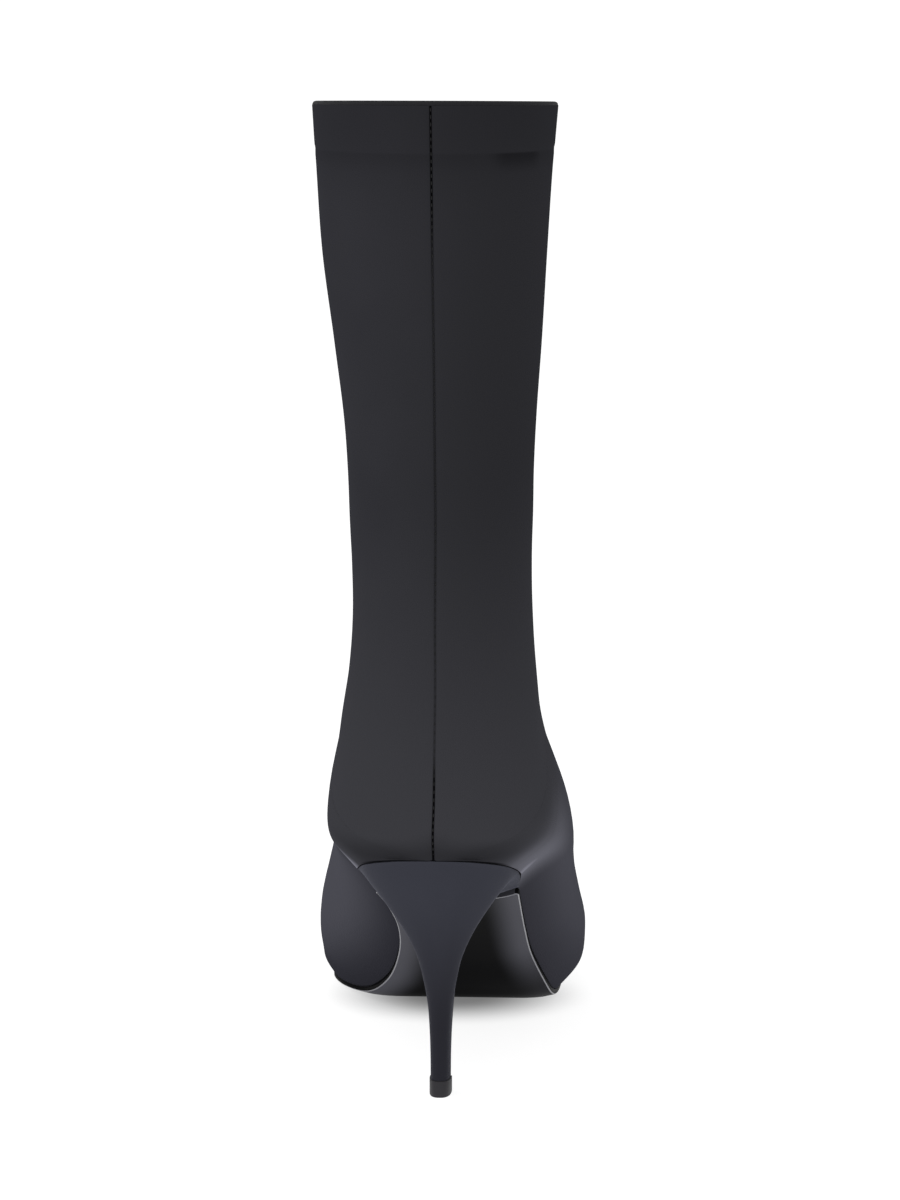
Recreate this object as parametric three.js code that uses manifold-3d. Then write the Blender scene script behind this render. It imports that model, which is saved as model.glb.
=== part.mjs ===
// A tall pull-on sock boot on a stiletto heel, for a right foot.
// Its pieces are a hollow stretch upper, an insole, an outsole, a heel and the heel's tip.
// Lengths are in millimetres. +Y points to the toe, +X to the outer side of the foot and +Z up.
// The origin is on the floor, under the middle of the heel tip.
import * as THREE from "three";
import { mergeVertices } from "three/addons/utils/BufferGeometryUtils.js";
import Module from "manifold-3d";

const wasm = await Module();
wasm.setup();

// Driving dimensions of the last and the shaft
const soleLength = 246; // level, from the back of the heel seat to the toe end of the sole
const ballWidth = 94; // greatest width of the upper at the ball
const ballHeight = 41; // from the sole to the top of the foot at the ball
const heelHeight = 80; // floor to the back of the heel seat
const toeSpring = 7.6; // lift of the sole at the toe
const heelWidth = 70; // upper, round the heel bone
const instepReach = 116; // back of the heel seat to the bend of the instep
const ankleWidth = 59;
const ankleDepth = 88;
const collarWidth = 79;
const collarDepth = 108;
const shaftHeight = 242; // back of the heel seat to the back of the collar

// Driving dimensions of the pieces
const gap = 0.3; // left where two pieces touch
const wall = 1.6; // stretch upper with its lining
const hemHeight = 17; // turned-in band at the collar
const hemExtra = 0.8; // the turned-in layer
const lastingMargin = 12; // edge of the upper that is turned in over the insole
const insoleThickness = 2.2;
const soleThickness = 3; // outsole at the ball
const shankThickness = 4.6; // outsole along the middle of the waist
const treadEdge = 1.8; // outsole at its edge under the ball
const waistEdge = 2.4; // outsole at its edge in the waist
const soleCorner = 4; // rounding of the outsole's corners at the heel
const seatLength = 54; // level, from the back of the heel seat to the heel's breast
const breastHollow = 5; // how far the heel's front face curves back in the middle
const heelSet = 13.5; // level, from the middle of the heel tip to the back of the seat
const stemWidth = 6.5; // heel, just above its tip
const stemDepth = 8.4;
const tipHeight = 5.4;
const tipProud = 0.35; // the tip stands out round the stem

// Level of the upper's underside where the sole is flat on the floor, and its climb from there to the seat.
const treadLevel = soleThickness + gap;
const heelRise = heelHeight - treadLevel;

// The measures that a section's shares refer to.
const GIRTH = {
  ball: { width: ballWidth, depth: ballHeight },
  heel: { width: heelWidth, depth: instepReach },
  ankle: { width: ankleWidth, depth: ankleDepth },
  collar: { width: collarWidth, depth: collarDepth },
};

// The sole line and the sole's outline, from the toe end to the back of the heel seat.
// along  share of soleLength, from the back of the seat
// rise   share of heelRise, and spring is the share of toeSpring
// of     the girth whose width the crosswise shares refer to
// outer, inner  the edges of the sole, as shares of that width
// flare  degrees from level at which a section of the upper leaves the edge
const SOLE = table("along rise spring of outer inner flare", [
  [1, 0, 1, "ball", -0.096, -0.096, 0],
  [0.9972, 0, 0.987, "ball", -0.059, -0.133, 10],
  [0.9878, 0, 0.908, "ball", -0.016, -0.176, 30],
  [0.9699, 0, 0.776, "ball", 0.038, -0.23, 45],
  [0.9398, 0, 0.579, "ball", 0.11, -0.301, 50],
  [0.8919, 0, 0.329, "ball", 0.196, -0.389, 52],
  [0.835, 0, 0.118, "ball", 0.272, -0.461, 52],
  [0.774, 0, 0.013, "ball", 0.322, -0.503, 52],
  [0.713, 0, 0, "ball", 0.347, -0.514, 52],
  [0.652, 0, 0, "ball", 0.349, -0.465, 50],
  [0.5829, 0.026, 0, "ball", 0.336, -0.362, 45],
  [0.5102, 0.146, 0, "ball", 0.309, -0.268, 42],
  [0.4301, 0.327, 0, "ball", 0.27, -0.213, 42],
  [0.348, 0.503, 0, "ball", 0.256, -0.202, 45],
  [0.274, 0.651, 0, "heel", 0.337, -0.306, 50],
  [0.2089, 0.763, 0, "heel", 0.337, -0.354, 52],
  [0.148, 0.846, 0, "heel", 0.351, -0.386, 54],
  [0.0911, 0.91, 0, "heel", 0.329, -0.38, 50],
  [0.0431, 0.958, 0, "heel", 0.266, -0.317, 40],
  [0.0183, 0.982, 0, "heel", 0.186, -0.234, 30],
  [0.0065, 0.994, 0, "heel", 0.117, -0.163, 20],
  [0.0016, 0.998, 0, "heel", 0.054, -0.097, 11],
  [0, 1, 0, "heel", -0.021, -0.021, 0],
]);

// Sections of the foot, from the toe end to the back of the heel seat.
// Each is a plane that holds the crosswise direction. It starts on the sole line and leans over to the top
// of the foot.
// lean   degrees from level, 90 is upright
// of     the girth that the shares of depth and width refer to
// reach  share of depth, from the sole line to the top of the foot
// outerBulge, innerBulge  the widest places of the upper, at the height bulgeAt, a share of reach
// crown  roundness of the top, and ridge is its place across the width
const FOOT = table("along lean of reach outerBulge innerBulge bulgeAt crown ridge", [
  [1, 0, "ball", 0, -0.096, -0.096, 0.25, 0.55, -0.096],
  [0.9972, 28.1, "ball", 0.083, -0.037, -0.154, 0.3, 0.55, -0.096],
  [0.9878, 52.8, "ball", 0.165, 0.011, -0.202, 0.33, 0.55, -0.096],
  [0.9699, 63.4, "ball", 0.267, 0.07, -0.264, 0.35, 0.55, -0.096],
  [0.9398, 72.7, "ball", 0.386, 0.145, -0.339, 0.37, 0.52, -0.096],
  [0.8919, 77.7, "ball", 0.539, 0.239, -0.432, 0.38, 0.5, -0.095],
  [0.835, 78.4, "ball", 0.692, 0.326, -0.506, 0.38, 0.48, -0.089],
  [0.774, 78.1, "ball", 0.842, 0.385, -0.54, 0.38, 0.47, -0.085],
  [0.713, 77.7, "ball", 0.996, 0.413, -0.547, 0.38, 0.46, -0.076],
  [0.652, 75.9, "ball", 1.174, 0.432, -0.546, 0.4, 0.45, -0.065],
  [0.5829, 71.8, "ball", 1.337, 0.446, -0.541, 0.43, 0.45, -0.055],
  [0.5102, 66, "ball", 1.412, 0.434, -0.521, 0.45, 0.45, -0.048],
  [0.4301, 58.6, "ball", 1.464, 0.42, -0.483, 0.45, 0.45, -0.043],
  [0.348, 51.7, "ball", 1.589, 0.421, -0.449, 0.4, 0.45, -0.037],
  [0.274, 46.9, "heel", 0.622, 0.575, -0.574, 0.335, 0.46, -0.043],
  [0.2089, 43.7, "heel", 0.691, 0.569, -0.557, 0.275, 0.48, -0.036],
  [0.148, 41, "heel", 0.769, 0.543, -0.552, 0.248, 0.5, -0.031],
  [0.0911, 38.7, "heel", 0.852, 0.516, -0.551, 0.247, 0.5, -0.029],
  [0.0431, 36.9, "heel", 0.927, 0.497, -0.54, 0.272, 0.5, -0.026],
  [0, 36, "heel", 1, 0.479, -0.516, 0.3, 0.5, -0.023],
]);

// Sections from just above the heel seat to the collar. They start on the back seam.
// up    share of shaftHeight, above the heel seat
// back  share of collarDepth, forward of the back of the seat
// seam  place of the back seam across the width
const SHAFT = table("up back lean of reach seam outerBulge innerBulge bulgeAt crown ridge", [
  [0.033, -0.029, 35.4, "heel", 1.001, -0.023, 0.463, -0.492, 0.285, 0.52, -0.021],
  [0.083, -0.05, 33.6, "heel", 0.984, -0.024, 0.446, -0.469, 0.307, 0.53, -0.02],
  [0.145, -0.044, 31.5, "heel", 0.94, -0.027, 0.424, -0.438, 0.36, 0.55, -0.019],
  [0.227, -0.001, 28.4, "ankle", 1.133, -0.036, 0.48, -0.505, 0.43, 0.55, -0.022],
  [0.302, 0.034, 25, "ankle", 1.05, -0.037, 0.473, -0.515, 0.47, 0.55, -0.02],
  [0.372, 0.044, 20.5, "ankle", 1.007, -0.039, 0.477, -0.531, 0.5, 0.55, -0.02],
  [0.442, 0.039, 15.6, "ankle", 0.994, -0.039, 0.48, -0.539, 0.5, 0.55, -0.02],
  [0.529, 0.022, 10.4, "ankle", 1.006, -0.041, 0.493, -0.557, 0.5, 0.55, -0.02],
  [0.653, -0.006, 5.6, "collar", 0.86, -0.032, 0.391, -0.457, 0.5, 0.55, -0.015],
  [0.785, -0.039, 1.7, "collar", 0.911, -0.035, 0.412, -0.504, 0.5, 0.55, -0.016],
  [0.909, -0.066, -1.1, "collar", 0.959, -0.039, 0.434, -0.527, 0.5, 0.55, -0.018],
  [1, -0.084, -3.1, "collar", 0.997, -0.042, 0.455, -0.542, 0.5, 0.55, -0.019],
]);

// How the heel swells from its stem to the seat.
// up    share of the height from the stem's foot to the seat
// side, corner  crosswise shares of the way from the stem's outline to the seat's, beside the seat's middle
//               and at the corners of the breast
// back, breast  shares of the way backward and forward
const HEEL_FLARE = table("up   side   corner back   breast", [
  [0.0, 0.0, 0.0, 0.0, 0.0],
  [0.12, 0.005, 0.002, 0.01, 0.008],
  [0.25, 0.02, 0.01, 0.03, 0.03],
  [0.38, 0.05, 0.028, 0.07, 0.07],
  [0.5, 0.115, 0.052, 0.14, 0.12],
  [0.62, 0.21, 0.082, 0.24, 0.18],
  [0.73, 0.37, 0.135, 0.37, 0.26],
  [0.83, 0.57, 0.215, 0.54, 0.38],
  [0.9, 0.73, 0.34, 0.69, 0.52],
  [0.95, 0.86, 0.5, 0.82, 0.67],
  [0.985, 0.95, 0.72, 0.94, 0.83],
  [1.0, 1.0, 1.0, 1.0, 1.0],
]);

// Facets
const FOOT_STEPS = 2; // stations to each row of the foot
const SHAFT_STEPS = 1; // and of the shaft
const UNDER_STEPS = 4; // across the underside of the upper
const LOWER_STEPS = 5; // from the sole's edge to the widest place
const UPPER_STEPS = 9; // from there to the top
const SOLE_STEPS = 10; // across the outsole
const HEEL_SIDE_STEPS = 8; // round each half of the seat
const BREAST_STEPS = 6; // across the heel's front face

// Turns a line of column names and rows of values into rows with named values.
function table(header, rows) {
  const names = header.trim().split(/\s+/);
  return rows.map((row) => Object.fromEntries(names.map((name, i) => [name, row[i]])));
}

// A smooth curve through values that lie at places, at a row number t.
function spline(values, places, t) {
  const last = values.length - 1;
  const i = Math.min(Math.max(Math.floor(t), 0), last - 1);
  const u = t - i;
  const step = (k) => places[k + 1] - places[k];
  const slope = (k) => (values[k + 1] - values[k]) / step(k);
  const tangent = (k) => {
    if (k === 0) return slope(0);
    if (k === last) return slope(last - 1);
    return (slope(k - 1) * step(k) + slope(k) * step(k - 1)) / (step(k - 1) + step(k));
  };
  const u2 = u * u;
  const u3 = u2 * u;
  return (
    (2 * u3 - 3 * u2 + 1) * values[i] +
    (u3 - 2 * u2 + u) * tangent(i) * step(i) +
    (3 * u2 - 2 * u3) * values[i + 1] +
    (u3 - u2) * tangent(i + 1) * step(i)
  );
}

// The sole line's height, the sole's edges and the upper's flare at a share of soleLength.
const soleRows = SOLE.map((row) => ({
  z: treadLevel + row.rise * heelRise + row.spring * toeSpring,
  outer: row.outer * GIRTH[row.of].width,
  inner: row.inner * GIRTH[row.of].width,
  flare: row.flare,
}));
const solePlaces = SOLE.map((row) => (1 - row.along) * soleLength);
function soleAt(along) {
  const place = THREE.MathUtils.clamp((1 - along) * soleLength, 0, soleLength);
  const i = Math.min(solePlaces.findLastIndex((from) => from <= place), SOLE.length - 2);
  const t = i + (place - solePlaces[i]) / (solePlaces[i + 1] - solePlaces[i]);
  const value = (name) => spline(soleRows.map((row) => row[name]), solePlaces, t);
  return { z: value("z"), outer: value("outer"), inner: value("inner"), flare: value("flare") };
}

// Each row as lengths: its start (y, z), the top of the foot (topY, topZ) and places across.
function measured(row, y, z) {
  const { width, depth } = GIRTH[row.of];
  const angle = THREE.MathUtils.degToRad(row.lean);
  return {
    y,
    z,
    topY: y + row.reach * depth * Math.cos(angle),
    topZ: z + row.reach * depth * Math.sin(angle),
    seam: (row.seam ?? SHAFT[0].seam) * width,
    outerBulge: row.outerBulge * width,
    innerBulge: row.innerBulge * width,
    bulgeAt: row.bulgeAt,
    crown: row.crown,
    ridge: row.ridge * width,
  };
}

const footRows = FOOT.map((row) => measured(row, row.along * soleLength - heelSet, soleAt(row.along).z));
const shaftRows = SHAFT.map((row) =>
  measured(row, row.back * collarDepth - heelSet, heelHeight + row.up * shaftHeight),
);
const seatBack = footRows.length - 1; // the row at the back of the heel seat
const allRows = [...footRows, ...shaftRows];
const collar = allRows.length - 1;

// How far the middle of a section has moved along the boot, for each row.
const middleOf = (row) => new THREE.Vector2((row.y + row.topY) / 2, (row.z + row.topZ) / 2);
const rowPlaces = [0];
for (let i = 1; i < allRows.length; i++) {
  rowPlaces.push(rowPlaces[i - 1] + middleOf(allRows[i]).distanceTo(middleOf(allRows[i - 1])));
}

// The section at any place t along the rows. Its start turns a corner at the back of the heel seat.
function sectionAt(t) {
  const section = {};
  for (const name of Object.keys(allRows[0])) {
    const values = allRows.map((row) => row[name]);
    const turnsCorner = ["y", "z", "seam"].includes(name);
    if (turnsCorner && t <= seatBack) {
      section[name] = spline(values.slice(0, seatBack + 1), rowPlaces.slice(0, seatBack + 1), t);
    } else if (turnsCorner) {
      section[name] = spline(values.slice(seatBack), rowPlaces.slice(seatBack), t - seatBack);
    } else {
      section[name] = spline(values, rowPlaces, t);
    }
  }
  if (t <= seatBack) return { ...section, ...soleAt((section.y + heelSet) / soleLength) };
  return { ...section, outer: section.seam, inner: section.seam, flare: 0 };
}

// A place on a section, x across and h along it, as a point.
function pointOn(section, x, h) {
  const reach = Math.hypot(section.topY - section.y, section.topZ - section.z);
  const dy = (section.topY - section.y) / reach || 0;
  const dz = (section.topZ - section.z) / reach || 0;
  return new THREE.Vector3(x, section.y + h * dy, section.z + h * dz);
}

// The closed outline of a section, drawn inset from the upper's outside: across the underside from the inner
// to the outer edge, up the outer side and down the inner one.
function sectionRing(section, inset) {
  const reach = Math.hypot(section.topY - section.y, section.topZ - section.z);
  const bottom = inset;
  const top = reach - inset;
  const bulge = bottom + section.bulgeAt * (top - bottom);
  const flare = THREE.MathUtils.degToRad(section.flare);
  const roundness = 0.5523; // handle that makes a quarter of an ellipse
  const side = (edge, widest) => {
    const out = Math.sign(widest - section.ridge) || 1;
    const edgeX = edge - (section.outer > section.inner ? out * inset : 0);
    const wideX = widest - out * inset;
    const pull = roundness * (Math.abs(wideX - edgeX) * Math.cos(flare) + (bulge - bottom) * Math.sin(flare));
    const lower = new THREE.CubicBezierCurve(
      new THREE.Vector2(edgeX, bottom),
      new THREE.Vector2(edgeX + out * pull * Math.cos(flare), bottom + pull * Math.sin(flare)),
      new THREE.Vector2(wideX, bulge - roundness * (bulge - bottom)),
      new THREE.Vector2(wideX, bulge),
    );
    const upper = new THREE.CubicBezierCurve(
      new THREE.Vector2(wideX, bulge),
      new THREE.Vector2(wideX, bulge + roundness * (top - bulge)),
      new THREE.Vector2(section.ridge + section.crown * (wideX - section.ridge), top),
      new THREE.Vector2(section.ridge, top),
    );
    return [...lower.getPoints(LOWER_STEPS), ...upper.getPoints(UPPER_STEPS).slice(1)];
  };
  const outerSide = side(section.outer, section.outerBulge);
  const innerSide = side(section.inner, section.innerBulge).reverse();
  const under = [];
  for (let i = 1; i < UNDER_STEPS; i++) {
    under.push(innerSide.at(-1).clone().lerp(outerSide[0], i / UNDER_STEPS));
  }
  return [...outerSide, ...innerSide.slice(1), ...under].map((p) => pointOn(section, p.x, p.y));
}

// A closed solid through rings that have the same number of points.
function loft(rings) {
  const n = rings[0].length;
  const middle = (ring) => ring.reduce((sum, p) => sum.add(p), new THREE.Vector3()).divideScalar(n);
  const corners = [];
  const face = (a, b, c) => corners.push(...a.toArray(), ...b.toArray(), ...c.toArray());
  for (let i = 0; i + 1 < rings.length; i++) {
    for (let j = 0; j < n; j++) {
      const k = (j + 1) % n;
      face(rings[i][j], rings[i][k], rings[i + 1][k]);
      face(rings[i][j], rings[i + 1][k], rings[i + 1][j]);
    }
  }
  const first = middle(rings[0]);
  const end = middle(rings.at(-1));
  for (let j = 0; j < n; j++) {
    const k = (j + 1) % n;
    face(first, rings[0][k], rings[0][j]);
    face(end, rings.at(-1)[j], rings.at(-1)[k]);
  }
  const geometry = new THREE.BufferGeometry();
  geometry.setAttribute("position", new THREE.Float32BufferAttribute(corners, 3));
  return solidFrom(geometry);
}

// A manifold-3d solid from a closed geometry, without the faces that merging its corners has flattened.
function solidFrom(geometry) {
  const bare = geometry.index ? geometry.toNonIndexed() : geometry;
  const plain = new THREE.BufferGeometry().setAttribute("position", bare.getAttribute("position"));
  const merged = mergeVertices(plain, 1e-3);
  const index = [];
  for (let i = 0; i < merged.index.count; i += 3) {
    const [a, b, c] = [0, 1, 2].map((k) => merged.index.getX(i + k));
    if (a !== b && b !== c && c !== a) index.push(a, b, c);
  }
  const vertProperties = merged.getAttribute("position").array;
  const solid = (corners) =>
    new wasm.Manifold(new wasm.Mesh({ numProp: 3, vertProperties, triVerts: new Uint32Array(corners) }));
  const made = solid(index);
  return made.volume() > 0 ? made : solid(index.reverse());
}

// Evenly spaced places from one row to another, both included.
function stations(from, to, perRow = FOOT_STEPS) {
  const count = Math.max(1, Math.round((to - from) * perRow));
  return Array.from({ length: count + 1 }, (_, i) => from + ((to - from) * i) / count);
}

// The row number where the sole line is a level distance from the back of the seat.
function rowAt(distance) {
  let low = 0;
  let high = seatBack;
  for (let i = 0; i < 40; i++) {
    const middle = (low + high) / 2;
    if (sectionAt(middle).y + heelSet > distance) low = middle;
    else high = middle;
  }
  return (low + high) / 2;
}

// Stations from one row to another, closer together round the back of the seat and wider up the shaft.
function bootStations(from, to) {
  const round = SOLE.filter((row) => row.along > 0 && row.along < FOOT.at(-2).along).map((row) => row.along);
  const lastStraight = seatBack - 1;
  const ankle = seatBack + 3;
  const foot = stations(Math.min(from, lastStraight), lastStraight);
  const seat = round.map((along) => rowAt(along * soleLength));
  const places = [...foot, ...seat, ...stations(seatBack, ankle)];
  if (to > ankle) places.push(...stations(ankle, collar, SHAFT_STEPS).slice(1));
  if (to > collar) places.push(to);
  return places.filter((t) => t >= from && t <= to);
}

// The last's form, drawn in by an inset.
function lastForm(inset, from, to) {
  return loft(bootStations(from, to).map((t) => sectionRing(sectionAt(t), inset)));
}

// Everything below the sole line lifted by a height, from side to side of the boot.
function belowSoleLine(lift) {
  const reach = 40; // beyond both ends of the sole
  const line = bootStations(0, seatBack).map((t) => sectionAt(t));
  const shape = new THREE.Shape();
  shape.moveTo(line[0].y + reach, -reach);
  shape.lineTo(line[0].y + reach, line[0].z + lift);
  for (const section of line) shape.lineTo(section.y, section.z + lift);
  shape.lineTo(line.at(-1).y - reach, line.at(-1).z + lift);
  shape.lineTo(line.at(-1).y - reach, -reach);
  const slab = new THREE.ExtrudeGeometry(shape, { depth: 2 * ballWidth, bevelEnabled: false });
  // The shape's first axis becomes Y, its second Z and the depth X.
  slab.applyMatrix4(
    new THREE.Matrix4().makeBasis(
      new THREE.Vector3(0, 1, 0),
      new THREE.Vector3(0, 0, 1),
      new THREE.Vector3(1, 0, 0),
    ),
  );
  return solidFrom(slab.translate(-ballWidth, 0, 0));
}

// The upper: the last's form, hollowed down to the turned-in edge that lies over the insole.
const INNER_TOE = 2.5; // rows at the toe end that the stiffened toe fills
function makeUpper() {
  const outside = lastForm(0, 0, collar);
  const beyondCollar = collar + 0.25;
  const hollow = lastForm(wall, INNER_TOE, beyondCollar);
  const hemHollow = lastForm(wall + hemExtra, INNER_TOE, beyondCollar);
  const rim = sectionAt(collar);
  const across = new THREE.Vector3(0, rim.topY - rim.y, rim.topZ - rim.z).normalize();
  const upward = new THREE.Vector3(1, 0, 0).cross(across);
  const hemLevel = upward.dot(new THREE.Vector3(0, rim.y, rim.z)) - hemHeight;
  const belowHem = hollow.trimByPlane(upward.clone().negate().toArray(), -hemLevel);
  const room = hemHollow.add(belowHem).subtract(belowSoleLine(wall));
  const opening = loft(
    stations(3, seatBack - 1).map((t) => {
      const { y, z, outer, inner } = sectionAt(t);
      const low = z - wall;
      const high = z + 2 * wall;
      const right = Math.max(outer - lastingMargin, (outer + inner) / 2 + 1);
      const left = Math.min(inner + lastingMargin, (outer + inner) / 2 - 1);
      return [
        new THREE.Vector3(right, y, low),
        new THREE.Vector3(right, y, high),
        new THREE.Vector3(left, y, high),
        new THREE.Vector3(left, y, low),
      ];
    }),
  );
  return outside.subtract(room).subtract(opening);
}

// The insole: a board over the turned-in edge, inside the upper's walls.
function makeInsole() {
  const inside = lastForm(wall + gap, INNER_TOE + 0.25, seatBack + 2);
  const under = belowSoleLine(wall + gap);
  const over = belowSoleLine(wall + gap + insoleThickness);
  return inside.intersect(over).subtract(under);
}

// The direction away from the foot at a place on the sole line.
function soleNormal(t) {
  const a = sectionAt(Math.max(t - 0.1, 0));
  const b = sectionAt(Math.min(t + 0.1, seatBack));
  return new THREE.Vector3(0, a.z - b.z, b.y - a.y).normalize();
}

// The row number of the heel's breast.
const breast = rowAt(seatLength);

// The outsole: flat under the ball with its edges rounded up, and full along the middle in the waist.
function makeOutsole() {
  const end = rowAt(seatLength + gap);
  const cornerFrom = rowAt(seatLength + gap + soleCorner);
  const places = [...stations(0, cornerFrom), ...stations(cornerFrom, end, 6 / (end - cornerFrom)).slice(1)];
  const rings = places.map((t) => {
    const { y, z, outer, inner } = sectionAt(t);
    const normal = soleNormal(t);
    const waist = THREE.MathUtils.smoothstep(z, treadLevel, treadLevel + heelRise / 12);
    const full = THREE.MathUtils.lerp(soleThickness, shankThickness, waist);
    const edge = THREE.MathUtils.lerp(treadEdge, waistEdge, waist);
    const level = THREE.MathUtils.lerp(0.75, 0.3, waist); // share of each half that is even
    const intoCorner = Math.max(0, (t - cornerFrom) / (end - cornerFrom));
    const drawn = soleCorner * (1 - Math.sqrt(1 - Math.min(1, intoCorner) ** 2 * 0.98));
    const at = (x, depth) => new THREE.Vector3(x, y, z).addScaledVector(normal, gap + depth);
    const right = outer - drawn;
    const left = inner + drawn;
    const bottom = [];
    for (let i = 0; i <= SOLE_STEPS; i++) {
      const share = i / SOLE_STEPS;
      const rounding = Math.max(0, (Math.abs(2 * share - 1) - level) / (1 - level)) ** 2;
      bottom.push(at(THREE.MathUtils.lerp(right, left, share), THREE.MathUtils.lerp(full, edge, rounding)));
    }
    return [at(left, 0), at(right, 0), ...bottom];
  });
  return loft(rings).trimByPlane([0, 0, 1], 0);
}

// The stem's outline at a turn of 0 to 1 from its outer front corner round the back to its inner one.
function stemPoint(turn, proud) {
  const angle = Math.PI * turn;
  const square = 0.75; // under 1 squares the outline's sides
  const x = (stemWidth / 2 + proud) * Math.sign(Math.cos(angle)) * Math.abs(Math.cos(angle)) ** square;
  const y = stemDepth / 2 + proud - (stemDepth + 2 * proud) * Math.sin(angle) ** square;
  return new THREE.Vector2(Math.abs(x) < 1e-9 ? 0 : x, y);
}

// The heel: a stem that swells into the seat, with a hollowed front face.
function makeHeel() {
  const foot = tipHeight + gap;
  const front = sectionAt(breast);
  const seatMiddle = front.y - seatLength / 2;
  const columns = [];
  for (let i = 0; i <= 2 * HEEL_SIDE_STEPS; i++) {
    const turn = i / (2 * HEEL_SIDE_STEPS);
    const towardBack = 1 - Math.abs(2 * turn - 1);
    const { y, z, outer, inner } = sectionAt(THREE.MathUtils.lerp(breast, seatBack, towardBack));
    const top = new THREE.Vector3(turn <= 0.5 ? outer : inner, y, z);
    columns.push({ top, stem: stemPoint(turn, 0), face: 0 });
  }
  for (let i = 1; i < BREAST_STEPS; i++) {
    const share = i / BREAST_STEPS;
    const x = THREE.MathUtils.lerp(front.inner, front.outer, share);
    const stem = stemPoint(1, 0).lerp(stemPoint(0, 0), share);
    columns.push({ top: new THREE.Vector3(x, front.y, front.z), stem, face: 4 * share * (1 - share) });
  }
  const ring = ({ up, side, corner, back, breast: forward }, raised = 0) =>
    columns.map(({ top, stem, face }) => {
      const forwardness = THREE.MathUtils.clamp((top.y - seatMiddle) / (front.y - seatMiddle), 0, 1);
      const hollow = breastHollow * face * 4 * up * (1 - up);
      return new THREE.Vector3(
        THREE.MathUtils.lerp(stem.x, top.x, THREE.MathUtils.lerp(side, corner, forwardness)),
        THREE.MathUtils.lerp(stem.y, top.y, top.y < 0 ? back : forward) - hollow,
        THREE.MathUtils.lerp(foot, top.z + raised, up),
      );
    });
  const aboveSeat = 3; // the cut that follows the seat takes this off again
  const swelling = loft([...HEEL_FLARE.map((row) => ring(row)), ring(HEEL_FLARE.at(-1), aboveSeat)]);
  return swelling.intersect(belowSoleLine(-gap));
}

// The heel's tip: a low block round the end of the stem, with its edges eased.
function makeHeelTip() {
  const ease = 0.25;
  const outline = (proud, z) => {
    const round = [];
    for (let i = 0; i <= 2 * HEEL_SIDE_STEPS; i++) {
      const p = stemPoint(i / (2 * HEEL_SIDE_STEPS), proud);
      round.push(new THREE.Vector3(p.x, p.y, z));
    }
    return round;
  };
  return loft([
    outline(tipProud - ease, 0),
    outline(tipProud, ease),
    outline(tipProud, tipHeight - ease),
    outline(tipProud - ease / 2, tipHeight),
  ]);
}

// A named mesh from a solid, with its colour and finish.
function mesh(name, solid, color, roughness) {
  const { vertProperties, triVerts } = solid.getMesh();
  const geometry = new THREE.BufferGeometry();
  geometry.setAttribute("position", new THREE.BufferAttribute(vertProperties, 3));
  geometry.setIndex(new THREE.BufferAttribute(triVerts, 1));
  const made = new THREE.Mesh(geometry, new THREE.MeshStandardMaterial({ color, roughness, metalness: 0 }));
  made.name = name;
  return made;
}

const boot = new THREE.Group();
boot.add(
  mesh("upper", makeUpper(), 0x2f2f33, 0.7),
  mesh("insole", makeInsole(), 0x232325, 0.6),
  mesh("outsole", makeOutsole(), 0x1c1b1d, 0.35),
  mesh("heel", makeHeel(), 0x34343c, 0.55),
  mesh("heel_tip", makeHeelTip(), 0x39383b, 0.6),
);

export default boot;
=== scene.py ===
# %% [markdown]
# # A sock boot on a stiletto heel
# The boot is a tube of charcoal stretch jersey pulled over the leg, closed by one seam up the back, and
# set on a thin black sole with a slim heel covered in the same cloth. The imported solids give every
# piece its size and its place. Here each piece gets its smooth surface, its seams and its finish, and
# then a studio like the photograph's.

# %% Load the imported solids
import math

import bmesh
import bpy
import numpy as np
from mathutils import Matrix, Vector


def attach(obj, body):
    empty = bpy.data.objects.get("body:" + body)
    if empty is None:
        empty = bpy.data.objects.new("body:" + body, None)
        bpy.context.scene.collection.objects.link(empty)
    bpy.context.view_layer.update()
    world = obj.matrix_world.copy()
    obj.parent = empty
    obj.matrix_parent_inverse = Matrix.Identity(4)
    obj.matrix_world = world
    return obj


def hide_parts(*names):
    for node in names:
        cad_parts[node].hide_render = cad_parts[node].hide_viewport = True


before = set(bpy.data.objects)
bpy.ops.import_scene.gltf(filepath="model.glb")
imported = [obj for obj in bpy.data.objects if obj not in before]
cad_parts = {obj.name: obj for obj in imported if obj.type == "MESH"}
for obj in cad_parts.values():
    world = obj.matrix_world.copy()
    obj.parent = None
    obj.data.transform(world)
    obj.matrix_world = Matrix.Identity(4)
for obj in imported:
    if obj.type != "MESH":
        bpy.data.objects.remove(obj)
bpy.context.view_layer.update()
MM = 0.001

# %% [markdown]
# ## The last
# A shoemaker builds a boot round a last, a solid foot that the cloth is drawn over. Its form could be
# sculpted by hand, but a few measured sections say it exactly: each row below is one section, given in
# shares of the foot's own girths, and a smooth curve runs through each column. The values are those
# that the solids were made from, but for the seam's line up the back, which the plain solids do not
# show and which follows the photograph here.

# %% Sizes of the last and its sole
sole_length, ball_width, ball_height = 246, 94, 41
heel_height, toe_spring, heel_width, instep_reach = 80, 7.6, 70, 116
ankle_width, ankle_depth, collar_width, collar_depth, shaft_height = 59, 88, 79, 108, 242
wall, hem_height, hem_extra, sole_gap = 1.6, 17, 0.8, 0.3
sole_thickness, shank_thickness, tread_edge, waist_edge = 3, 4.6, 1.8, 2.4
seat_length, heel_set = 54, 13.5
tread_level = sole_thickness + sole_gap
heel_rise = heel_height - tread_level
GIRTHS = {
    "ball": (ball_width, ball_height),
    "heel": (heel_width, instep_reach),
    "ankle": (ankle_width, ankle_depth),
    "collar": (collar_width, collar_depth),
}


def table(header, rows):
    names = header.split()
    return [dict(zip(names, row)) for row in rows]


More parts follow.
